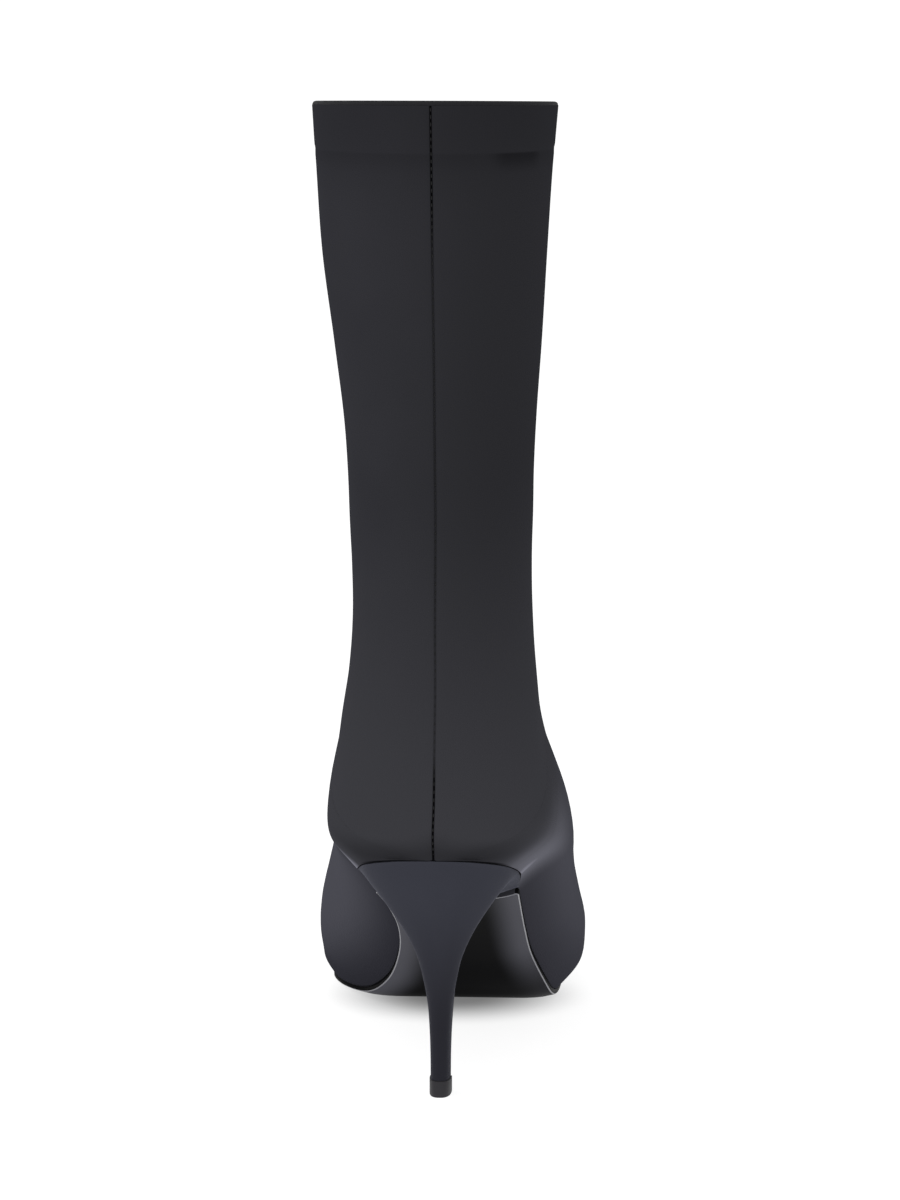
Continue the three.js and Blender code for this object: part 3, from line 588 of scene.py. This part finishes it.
# %% [markdown]
# ## Sole leather, its edge and the top lift
# Sole leather is dyed black and glazed with wax. Towards the outline it is painted paler, a painted
# reflection, which fades on the outer side towards the ball. The sole's wall stays dark, and the rounded
# corner under it is burnished and glossy, and painted light grey as a painted highlight like a fine wire.
# The top lift is moulded polyurethane, hard, grey and faintly pebbled.


# %% Leather and polyurethane
def grain_relief(owner, grain_mm, depth_mm):
    on_piece = node(owner, "ShaderNodeTexCoord", out="Object")
    grain = node(owner, NOISE, {"Vector": on_piece, "Scale": 1000 / grain_mm, "Detail": 3.0})
    return node(owner, BUMP, {"Height": grain, "Distance": depth_mm * MM, "Strength": 1.0})

# %% Waxed sole leather
sole_leather, waxed = material(
    "sole_leather_dyed_and_waxed", "#0b0b0c", Roughness=0.3, Specular_IOR_Level=0.003,
)
plug(sole_leather, waxed, "Normal", grain_relief(sole_leather, 0.9, 0.004))
_, from_outline, along_sole = cloth_places(sole_leather)
# Painted reflection: paler towards the outline, less so on the outer side towards the ball, and not on the
# wall.
reflection_near_outline = node(sole_leather, MAP_RANGE, {0: from_outline, 1: 1, 2: 13, 3: 1, 4: 0}, **soft_step)
on_sole = node(sole_leather, "ShaderNodeTexCoord", out="Object")
across_sole = node(sole_leather, "ShaderNodeSeparateXYZ", {0: on_sole}, out="X")
outer_half = node(sole_leather, MAP_RANGE, {0: across_sole, 1: -0.01, 2: 0.01}, **soft_step)
to_ball = node(sole_leather, MAP_RANGE, {0: along_sole, 1: 82, 2: 116, 3: 0, 4: 0.8}, **soft_step)
less_reflection = node(sole_leather, MATH, {0: to_ball, 1: outer_half}, operation="MULTIPLY")
reflection_kept = node(sole_leather, MATH, {0: 1.0, 1: less_reflection}, operation="SUBTRACT")
off_wall = node(sole_leather, MAP_RANGE, {0: from_outline, 1: 0.1, 2: 0.4, 3: 0, 4: reflection_kept}, **soft_step)
painted_reflection = node(sole_leather, MATH, {0: reflection_near_outline, 1: off_wall}, operation="MULTIPLY")
plug(sole_leather, waxed, "Base Color", node(
    sole_leather, MIX, {0: painted_reflection, 6: linear("#0b0b0c"), 7: linear("#4a4a50")}, **colours,
))

# %% The sole edge's painted highlight and the top lift
# Painted highlight: the edge's light grey colour stands for the light its rounding catches; its gloss is
# real.
sole_edge_highlight, edge_shader = material(
    "leather_edge_glossy_painted_highlight", "#6a6a70", Roughness=0.3, Specular_IOR_Level=0.4,
)
plug(sole_edge_highlight, edge_shader, "Normal", grain_relief(sole_edge_highlight, 1.2, 0.004))
edge_cloud = node(sole_edge_highlight, NOISE, {"Scale": 60.0, "Detail": 2.0})
plug(sole_edge_highlight, edge_shader, "Base Color", node(
    sole_edge_highlight, MIX, {0: edge_cloud, 6: linear("#5e5e64"), 7: linear("#76767d")}, **colours,
))

top_lift_urethane, urethane = material(
    "polyurethane_moulded", "#2a292c", Roughness=0.5, Specular_IOR_Level=0.08,
)
plug(top_lift_urethane, urethane, "Normal", grain_relief(top_lift_urethane, 0.6, 0.01))
lift_cloud = node(top_lift_urethane, NOISE, {"Scale": 300.0, "Detail": 2.0})
plug(top_lift_urethane, urethane, "Base Color", node(
    top_lift_urethane, MIX, {0: lift_cloud, 6: linear("#302f32"), 7: linear("#363538")}, **colours,
))

# %% [markdown]
# ## The upper
# The upper of a sock boot is cut from a double-faced knit and closed up the back, so it shows almost
# nothing but its form. Cloth could be simulated here, but a knit that is drawn tight has no free folds:
# the last's own surface with a seam's groove, a turned hem and a few soft creases at the bend of the
# ankle says more and says it exactly.


# %% Relief of the upper
def bump(distance, width):
    return np.exp(-((distance / width) ** 2))


# Each crease at the front of the ankle: up from the seat's section, depth, half width, slant, and
# reach to the sides.
ANKLE_CREASES = [
    (-15, 0.45, 3.0, 0.03, 30), (-2, 0.8, 3.2, -0.05, 42),
    (12, 0.75, 3.4, 0.06, 38), (30, 0.35, 4.0, -0.04, 28),
]
groove_depth, groove_half, lip_height, lip_place, lip_half = 0.45, 0.55, 0.12, 2.2, 1.3
hem_dip, hem_half, hem_swell, swell_half = 0.2, 0.9, 0.12, 3
break_height, break_half = 0.55, 3.2


def upper_relief(s, round_boot):
    """How far each point lies in from the last's surface, in mm."""
    to_collar = (places[-1] - s["at"])[:, None]
    above_seat = np.clip((s["at"] - places[seat_back]) / 4, 0, 1)[:, None]
    groove = groove_depth * bump(round_boot, groove_half)
    seam = groove - lip_height * bump(np.abs(round_boot) - lip_place, lip_half)
    from_hem = to_collar - (collar_place - hem_place)
    swelling = hem_swell * bump(np.maximum(from_hem + 1.5, 0), swell_half)
    hem = hem_dip * bump(from_hem, hem_half) - swelling
    foot = np.clip((places[seat_back] - s["at"]) / 4, 0, 1)[:, None]
    outer_wing = round_boot > 0
    low_down = bump(np.maximum(np.abs(round_boot) - 4, 0), break_rise / 2)
    off_break = s["at"][:, None] - counter_end + wing_ahead * outer_wing
    counter_break = -break_height * bump(off_break, break_half) * low_down * foot
    half_girth = np.abs(round_boot).max(axis=1, keepdims=True)
    from_front = half_girth - np.abs(round_boot)
    creases = np.zeros_like(round_boot)
    for up, depth, width, slant, reach in ANKLE_CREASES:
        place = places[seat_back] + up + slant * np.sign(round_boot) * from_front
        off = s["at"][:, None] - place
        fold = bump(off, width) - 0.6 * bump(np.abs(off) - 1.9 * width, width)
        creases += depth * fold * bump(from_front, reach)
    return seam * above_seat + hem + counter_break + creases

# %% The outside of the upper
wide_rows = np.linspace(0, seat_back - 2, 110)
heel_rows = np.linspace(seat_back - 2, seat_back, 40)[1:]
shaft_rows = np.linspace(seat_back, collar, 230)[1:]
rim = (wall + hem_extra) / 2
t_per_mm = 1 / (places[-1] - places[-2])
outside_rows = np.concatenate([wide_rows, heel_rows, shaft_rows])
outside_rows = outside_rows[outside_rows < collar - rim * t_per_mm]
outside_rows = np.append(outside_rows, collar - rim * t_per_mm)
outer = sections(outside_rows)
xh, run = outlines(outer)
round_boot = girth_places(xh)
xh = xh + inward(xh) * upper_relief(outer, round_boot)[:, :, None]
upper_outside = placed(outer, xh, run)
near_seat = np.exp(-(((outer["at"] - places[seat_back]) / 10) ** 2))[:, None, None]
off_edge = np.clip((np.abs(round_boot) - 2) / 10, 0, 1)[:, :, None]
fairing_passes = 300
for _ in range(fairing_passes):
    between_rows = (upper_outside[:-2] + upper_outside[2:]) / 2
    upper_outside[1:-1] += (near_seat * off_edge)[1:-1] * 0.5 * (between_rows - upper_outside[1:-1])
print("outside of the upper:", upper_outside.shape, "top %.1f mm" % upper_outside[:, :, 2].max())


# %% The rim, the lining side and the underside
def ring_at(t, inset):
    s = sections(np.array([t]))
    points, direction = outlines(s, inset)
    return placed(s, points, direction)[0], girth_places(points)[0], s["at"][0]


def rings(steps):
    made = [ring_at(t, inset) for t, inset in steps]
    grid = np.stack([points for points, _, _ in made])
    return grid, np.stack([np.stack([around, np.full_like(around, at)], -1) for _, around, at in made])

# %% One mesh of the upper
turned = [
    (collar - rim * (1 - math.sin(a)) * t_per_mm, rim * (1 - math.cos(a)))
    for a in np.linspace(0, math.pi, 9)
]
hem_end = collar - hem_height * t_per_mm
inside_steps = turned + [(hem_end, wall + hem_extra), (hem_end - 0.012, wall)]
inside_steps += [(t, wall) for t in np.linspace(hem_end - 0.05, 2.5, 120)]
inside_grid, inside_cloth = rings(inside_steps)
inner_edge, outer_edge = upper_outside[:, -1], upper_outside[:, 0]
share = np.linspace(0, 1, 9)[None, :, None]
underside = inner_edge[:, None] * (1 - share) + outer_edge[:, None] * share
under_rows = outside_rows <= seat_back
underside = underside[under_rows]
under_cloth = underside[:, :, :2].copy()
upper = build(
    "stretch_upper",
    halves(upper_outside, round_boot, outer["at"], 0) + [
        (underside, under_cloth, False, 0, False),
        (inside_grid, inside_cloth, True, 1, False),
    ],
    [stretch_jersey, lining_tricot],
)
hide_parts("upper")
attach(upper, "root")

# %% [markdown]
# ## The back seam's stitches
# The two edges of the cloth are sewn together and the seam is pressed open, so a row of small stitches
# lies sunk in a shallow groove up the back. They could be painted on, but each is a tiny piece of
# thread here, so that it keeps its own shade from every side.

# %% Stitches
stitch_pitch, stitch_length, stitch_width = 2.1, 1.25, 0.42
seam_from, seam_to = places[seat_back] + 2, places[-1] - 1.5
stitch_at = np.arange(seam_from, seam_to, stitch_pitch)


def on_seam(at):
    s = sections(np.interp(at, places, np.arange(len(places))))
    return np.stack([s["seam"], s["y"], s["z"]], -1)


def thread_bead(centre, along, out, half_length, half_width):
    side = np.cross(along, out)
    turn = np.linspace(0, 2 * np.pi, 7)[:-1]
    tube = []
    for end, fat in ((-1, 0.25), (-0.7, 0.85), (0, 1), (0.7, 0.85), (1, 0.25)):
        ends_at, thick = centre + along * end * half_length, fat * half_width
        tube.append([ends_at + thick * (side * math.cos(a) + out * 0.7 * math.sin(a)) for a in turn])
    return np.array(tube)


bead_grids = []
for at in stitch_at:
    here = on_seam(np.array([at - 0.6, at, at + 0.6]))
    along = (here[2] - here[0]) / np.linalg.norm(here[2] - here[0])
    out = np.array([0, -along[2], along[1]])
    bead = thread_bead(here[1] - out * 0.34, along, out, stitch_length / 2, stitch_width / 2)
    bead_grids.append((bead, np.zeros(bead.shape[:2] + (2,)), True, 0, True))
stitches = build("back_seam_stitches", bead_grids, [seam_thread], merge=0.001)
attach(stitches, "root")
print("stitches:", len(stitch_at))

# %% [markdown]
# ## The insole
# The insole board closes the boot from inside and shows only down through the collar, so the packed
# solid's shape is enough and it gets the lining's cloth.

# %% Insole
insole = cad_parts["insole"]
insole.data.materials.clear()
insole.data.materials.append(lining_tricot)

# %% [markdown]
# ## The outsole
# A thin leather sole is cut to the last's outline, skived thin at its edges and glazed. In the waist it
# is full along the middle, over the steel shank, and it ends square against the heel's breast with its
# corners rounded.

# %% Outsole
sole_corner = 1.6


def row_at(distance):
    low, high = 0.0, float(seat_back)
    for _ in range(40):
        middle = (low + high) / 2
        if float(sections(np.array([middle]))["y"][0]) + heel_set > distance:
            low = middle
        else:
            high = middle
    return (low + high) / 2


def sole_normal(t):
    a, b = sections(np.maximum(t - 0.1, 0)), sections(np.minimum(t + 0.1, seat_back))
    normal = np.stack([np.zeros_like(t), a["z"] - b["z"], b["y"] - a["y"]], -1)
    return normal / np.linalg.norm(normal, axis=1, keepdims=True)

# %% The sole's thickness from end to end
sole_end, corner_from = row_at(seat_length + sole_gap), row_at(seat_length + sole_gap + sole_corner)
into_corner = 1 - (1 - np.linspace(0, 1, 16)[1:]) ** 2
sole_t = np.concatenate([
    np.linspace(0, 1, 16)[:-1], np.linspace(1, corner_from, 120),
    corner_from + (sole_end - corner_from) * into_corner,
])
s = sections(sole_t)
waist = np.clip((s["z"] - tread_level) / (heel_rise / 12), 0, 1)
waist = waist * waist * (3 - 2 * waist)
full = sole_thickness + (shank_thickness - sole_thickness) * waist
edge = tread_edge + (waist_edge - tread_edge) * waist
tread_flat, waist_flat = 0.75, 0.3
level = tread_flat + (waist_flat - tread_flat) * waist
drawn = np.clip((sole_t - corner_from) / (sole_end - corner_from), 0, 1)
drawn = sole_corner * (1 - np.sqrt(1 - drawn**2 * 0.98))
right, left = s["outer"] - drawn, s["inner"] + drawn
normal = sole_normal(sole_t)
start = np.stack([np.zeros_like(s["y"]), s["y"], s["z"]], -1)
fall = np.degrees(np.arctan(np.abs(normal[:, 1] / normal[:, 2])))
print("sole line's steepest fall: %.0f degrees" % fall.max())


# %% Points across the sole
def sole_points(x, depth):
    points = start + normal * (sole_gap * 0.5 + depth)[:, None]
    points[:, 0] += x
    points[:, 2] = np.maximum(points[:, 2], 0)
    return points


bevel = 0.45
across = 1 - 2 * np.linspace(0, 1, 33)
no_depth, chamfer = np.zeros_like(edge), np.full_like(edge, bevel * 0.6)


def rounding_in(a):
    return bevel * (1 - math.cos(a * math.pi / 2)) * 0.9


columns = [sole_points(right - bevel, no_depth), sole_points(right, chamfer)]
for a in np.linspace(0, 1, 4)[1:]:
    columns.append(sole_points(right - rounding_in(a), edge - bevel * (1 - a)))
for x in across[2:-2]:
    rounding = np.maximum(0, (abs(x) - level) / (1 - level)) ** 2
    columns.append(sole_points(left + (right - left) * (x + 1) / 2, full + (edge - full) * rounding))
for a in np.linspace(1, 0, 4)[:-1]:
    columns.append(sole_points(left + rounding_in(a), edge - bevel * (1 - a)))
columns += [sole_points(left, chamfer), sole_points(left + bevel, no_depth)]
for x in (-0.5, 0, 0.5):
    columns.append(sole_points(left + (right - left) * (x + 1) / 2, no_depth))
sole_grid = np.stack(columns, 1)
print("outsole columns:", sole_grid.shape[1])

# %% The outsole's faces
sole_x = sole_grid[:, :, 0]
from_side = np.minimum(np.abs(sole_x - left[:, None]), np.abs(sole_x - right[:, None]))
sole_cloth = np.stack([from_side, sole_grid[:, :, 1]], -1)
wall_and_top, rounded_edge, tread, end_strip = [0, 0], [1, 1], [0] * 30, 8
edge_row = wall_and_top + rounded_edge + tread + rounded_edge + wall_and_top + [0] * 4
edge_faces = np.tile(edge_row, (len(sole_t) - 1, 1))
under_from, under_to = len(wall_and_top), len(wall_and_top + rounded_edge + tread + rounded_edge)
# The underside's last rows at the sole's end get the edge's painted highlight too.
edge_faces[-end_strip:, under_from:under_to] = 1
end_ring = sole_grid[-1]
end_middle = end_ring.mean(0)
end_cap = np.stack([
    end_ring, end_middle + (end_ring - end_middle) * 0.9, np.broadcast_to(end_middle, end_ring.shape),
])
outsole = build(
    "glazed_outsole",
    [
        (sole_grid, sole_cloth, True, edge_faces, False),
        (end_cap, np.full(end_cap.shape[:2] + (2,), 6.0), True, 0, False),
    ],
    [sole_leather, sole_edge_highlight],
)
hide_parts("outsole")
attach(outsole, "root")

# %% [markdown]
# ## The heel
# A stiletto heel is a moulded block round a steel pin, covered in the upper's cloth. Turning it on a
# lathe would miss its flat breast and its lean, so it is lofted: from the small squared stem it swells
# slowly, then quickly, into the outline of the heel seat.

# %% Heel block
stem_width, stem_depth, tip_height, tip_proud, breast_hollow = 6.5, 8.4, 5.4, 0.35, 5
HEEL_FLARE = table("up side corner back breast", [
    (0, 0, 0, 0, 0), (0.12, 0.005, 0.002, 0.01, 0.008), (0.25, 0.02, 0.01, 0.03, 0.03),
    (0.38, 0.05, 0.028, 0.07, 0.07), (0.5, 0.115, 0.052, 0.14, 0.12), (0.62, 0.21, 0.082, 0.24, 0.18),
    (0.73, 0.37, 0.135, 0.37, 0.26), (0.83, 0.57, 0.215, 0.54, 0.38), (0.9, 0.73, 0.34, 0.69, 0.52),
    (0.95, 0.86, 0.5, 0.82, 0.67), (0.985, 0.95, 0.72, 0.94, 0.83), (1, 1, 1, 1, 1),
])


def stem_outline(turn, proud):
    a = np.pi * turn
    c = np.cos(a)
    x = (stem_width / 2 + proud) * np.sign(c) * np.abs(c) ** 0.75
    y = stem_depth / 2 + proud - (stem_depth + 2 * proud) * np.clip(np.sin(a), 0, 1) ** 0.75
    return np.stack([x, y], -1)

# %% Outlines of the heel seat and of the stem
side_points, breast_points, near_seat_row = 65, 16, 60
breast_row = row_at(seat_length)
side_turn = np.linspace(0, 1, side_points)
side = sections(breast_row + (seat_back - breast_row) * (1 - np.abs(2 * side_turn - 1)))
front = {name: float(values[0]) for name, values in sections(np.array([breast_row])).items()}
face_share = np.linspace(0, 1, breast_points + 2)[1:-1]
seat_outline = np.concatenate([
    np.stack([np.where(side_turn <= 0.5, side["outer"], side["inner"]), side["y"], side["z"]], -1),
    np.stack([
        front["inner"] + (front["outer"] - front["inner"]) * face_share,
        np.full(breast_points, front["y"]), np.full(breast_points, front["z"]),
    ], -1),
])
stem_ends = stem_outline(np.array([1.0, 0.0]), 0)
stem_breast = stem_ends[0] + (stem_ends[1] - stem_ends[0]) * face_share[:, None]
stem = np.concatenate([stem_outline(side_turn, 0), stem_breast])
face = np.concatenate([np.zeros(side_points), 4 * face_share * (1 - face_share)])
seat_middle = front["y"] - seat_length / 2
forward = np.clip((seat_outline[:, 1] - seat_middle) / (front["y"] - seat_middle), 0, 1)
forward = forward * forward * (3 - 2 * forward)
print("points round the heel:", len(seat_outline))

# %% From the stem to the seat
ups = np.array([row["up"] for row in HEEL_FLARE])
stem_from = tip_height + sole_gap * 0.4
heel_grid = []
for t in np.concatenate([np.linspace(0, 9, 46), np.linspace(9, 11, 30)[1:]]):
    up, wide, corner, back, breast = (smooth([r[c] for r in HEEL_FLARE], ups, t) for c in HEEL_FLARE[0])
    x = stem[:, 0] + (seat_outline[:, 0] - stem[:, 0]) * (wide + (corner - wide) * forward)
    to_front = np.clip((seat_outline[:, 1] + 6) / 14, 0, 1)
    reach = back + (breast - back) * to_front**2 * (3 - 2 * to_front)
    hollow = breast_hollow * face * 4 * up * (1 - up)
    y = stem[:, 1] + (seat_outline[:, 1] - stem[:, 1]) * reach - hollow
    seat_z = seat_outline[:, 2] - sole_gap * 0.5
    z = stem_from + (seat_z - stem_from) * up
    heel_grid.append(np.stack([x, y, z], -1))
block = np.array(heel_grid)
off_seat = (1 - np.linspace(0, 1, len(block)) ** 12)[:, None, None]
for _ in range(6):
    beside = (block[:, :side_points - 2] + block[:, 2:side_points]) / 2
    block[:, 1:side_points - 1] += 0.5 * off_seat * (beside - block[:, 1:side_points - 1])
heel_grid = list(block)
lid_middle = front["outer"] / 2 + front["inner"] / 2
for shrink in (0.97, 0.6, 0.2, 0.0):
    lid = block[-1].copy()
    lid[:, 0] = lid_middle + (lid[:, 0] - lid_middle) * shrink
    heel_grid.append(lid)
heel_grid = np.array(heel_grid)
steps_round = np.linalg.norm(np.diff(heel_grid[near_seat_row], axis=0), axis=1)
around = np.concatenate([[0], np.cumsum(steps_round)])
heel_cloth = np.stack([np.broadcast_to(around, heel_grid.shape[:2]), heel_grid[:, :, 2]], -1)
heel = build("covered_heel", [(heel_grid, heel_cloth, True, 0, True)], [heel_cloth_tight])
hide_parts("heel")
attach(heel, "root")

# %% [markdown]
# ## The heel's tip
# The top lift is a small block of hard polyurethane nailed to the stem, a little wider than the stem so
# that the cloth's edge is covered. Its edges are only just broken, so two narrow bevels are enough.

# %% Heel tip
lid_in, broken = 3, 0.3
tip_turn = np.linspace(0, 1, 49)
tip_grid = []
for proud, z in (
    (tip_proud - lid_in, 0), (tip_proud - broken, 0), (tip_proud - 0.1, 0.08), (tip_proud, broken),
    (tip_proud, tip_height - broken), (tip_proud - 0.1, tip_height - 0.08),
    (tip_proud - broken, tip_height), (tip_proud - lid_in, tip_height),
):
    outline = stem_outline(tip_turn, proud)
    tip_grid.append(np.concatenate([outline, np.full((len(outline), 1), z)], 1))
tip_grid = np.array(tip_grid)
tip_cloth = tip_grid[:, :, :2].copy()
heel_tip = build("top_lift", [(tip_grid, tip_cloth, True, 0, True)], [top_lift_urethane])
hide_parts("heel_tip")
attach(heel_tip, "root")

# %% [markdown]
# ## The studio
# The photograph is a catalogue shot: a white sweep lit until it is pure white, one big softbox overhead,
# a room that is brighter on one side, and only a faint shadow where the forefoot meets the floor. A
# sweep that white could be lit by many lamps. Paper that glows evenly does the same with one. It glows
# less in an oval under the ball, a painted shadow that stays as dark as in the photograph.

# %% Floor
floor_mesh = bpy.data.meshes.new("studio_floor")
reach = 60
floor_corners = [(-reach, -reach, 0), (reach, -reach, 0), (reach, reach, 0), (-reach, reach, 0)]
floor_mesh.from_pydata(floor_corners, [], [(0, 1, 2, 3)])
studio_floor = bpy.data.objects.new("studio_floor", floor_mesh)
bpy.context.scene.collection.objects.link(studio_floor)
sweep_paper, sweep = material(
    "pale_sweep_paper_matt", "#999999", Roughness=0.9, Specular_IOR_Level=0.1,
    Emission_Color=linear("#ffffff"),
)
shade_middle, shade_reach = (-0.004, 0.140), (0.050, 0.047)
on_floor = node(sweep_paper, "ShaderNodeTexCoord", out="Object")
off_middle = node(
    sweep_paper, "ShaderNodeVectorMath", {0: on_floor, 1: (*shade_middle, 0)}, operation="SUBTRACT",
)
in_reaches = node(
    sweep_paper, "ShaderNodeVectorMath", {0: off_middle, 1: (*shade_reach, 1)}, operation="DIVIDE",
)
from_ball = node(sweep_paper, "ShaderNodeVectorMath", {0: in_reaches}, out="Value", operation="LENGTH")
# Painted shadow: the paper glows less in the oval under the ball.
glow_with_painted_shadow = node(sweep_paper, MAP_RANGE, {0: from_ball, 1: 0.2, 2: 1.0, 3: 0.18, 4: 0.86}, **soft_step)
plug(sweep_paper, sweep, "Emission Strength", glow_with_painted_shadow)
fibre = node(sweep_paper, NOISE, {"Scale": 900.0})
plug(sweep_paper, sweep, "Normal", node(sweep_paper, BUMP, {"Height": fibre, "Distance": 0.01 * MM}))
floor_mesh.materials.append(sweep_paper)

# %% Lamps and the room's light
scene = bpy.context.scene
world = bpy.data.worlds.new("studio_room")
scene.world = world
world.use_nodes = True
background = world.node_tree.nodes["Background"]
background.inputs["Color"].default_value = linear("#ffffff")
direction = node(world, "ShaderNodeTexCoord", out="Generated")
brighter_side = (0.72, 0.69, 0)
away = node(
    world, "ShaderNodeVectorMath", {0: direction, 1: brighter_side}, out="Value", operation="DOT_PRODUCT",
)
room = node(world, MAP_RANGE, {0: away, 1: -1, 2: 1, 3: 0.88, 4: 0.3}, **soft_step)
height_up = node(world, "ShaderNodeSeparateXYZ", {0: direction}, out="Z")
sweep_wall = node(world, MAP_RANGE, {0: height_up, 1: 0.16, 2: 0.4, 3: 1, 4: 0}, **soft_step)
plug(world, background, "Strength", node(world, MIX, {0: sweep_wall, 2: room, 3: 1.02}))


def softbox(name, place, target, size, watts):
    light = bpy.data.lights.new(name, "AREA")
    light.shape = "RECTANGLE"
    light.size, light.size_y = size
    light.energy = watts
    lamp = bpy.data.objects.new(name, light)
    lamp.location = place
    lamp.rotation_euler = (Vector(target) - Vector(place)).to_track_quat("-Z", "Y").to_euler()
    scene.collection.objects.link(lamp)
    return lamp


softbox("overhead_softbox", (-0.3, -0.4, 2.0), (0, 0.05, 0.1), (2.2, 2.2), 14)

# %% [markdown]
# ## The camera
# The photograph looks down a little from behind and slightly to the outer side, through a long lens.
# These values come from fitting the solids' outline to the photograph's.

# %% Camera
azimuth, pitch, distance, height, side_step = math.radians(3.6), math.radians(8.84), 1.6, 0.411, 0.0032
camera_data = bpy.data.cameras.new("catalogue_camera")
camera_data.lens = 152.25
camera_data.sensor_width = 36
camera = bpy.data.objects.new("catalogue_camera", camera_data)
camera.location = (
    distance * math.sin(azimuth) + side_step * math.cos(azimuth),
    -distance * math.cos(azimuth) + side_step * math.sin(azimuth),
    height,
)
camera.rotation_euler = (math.pi / 2 - pitch, 0, azimuth)
scene.collection.objects.link(camera)
scene.camera = camera
scene.view_settings.view_transform = "Standard"
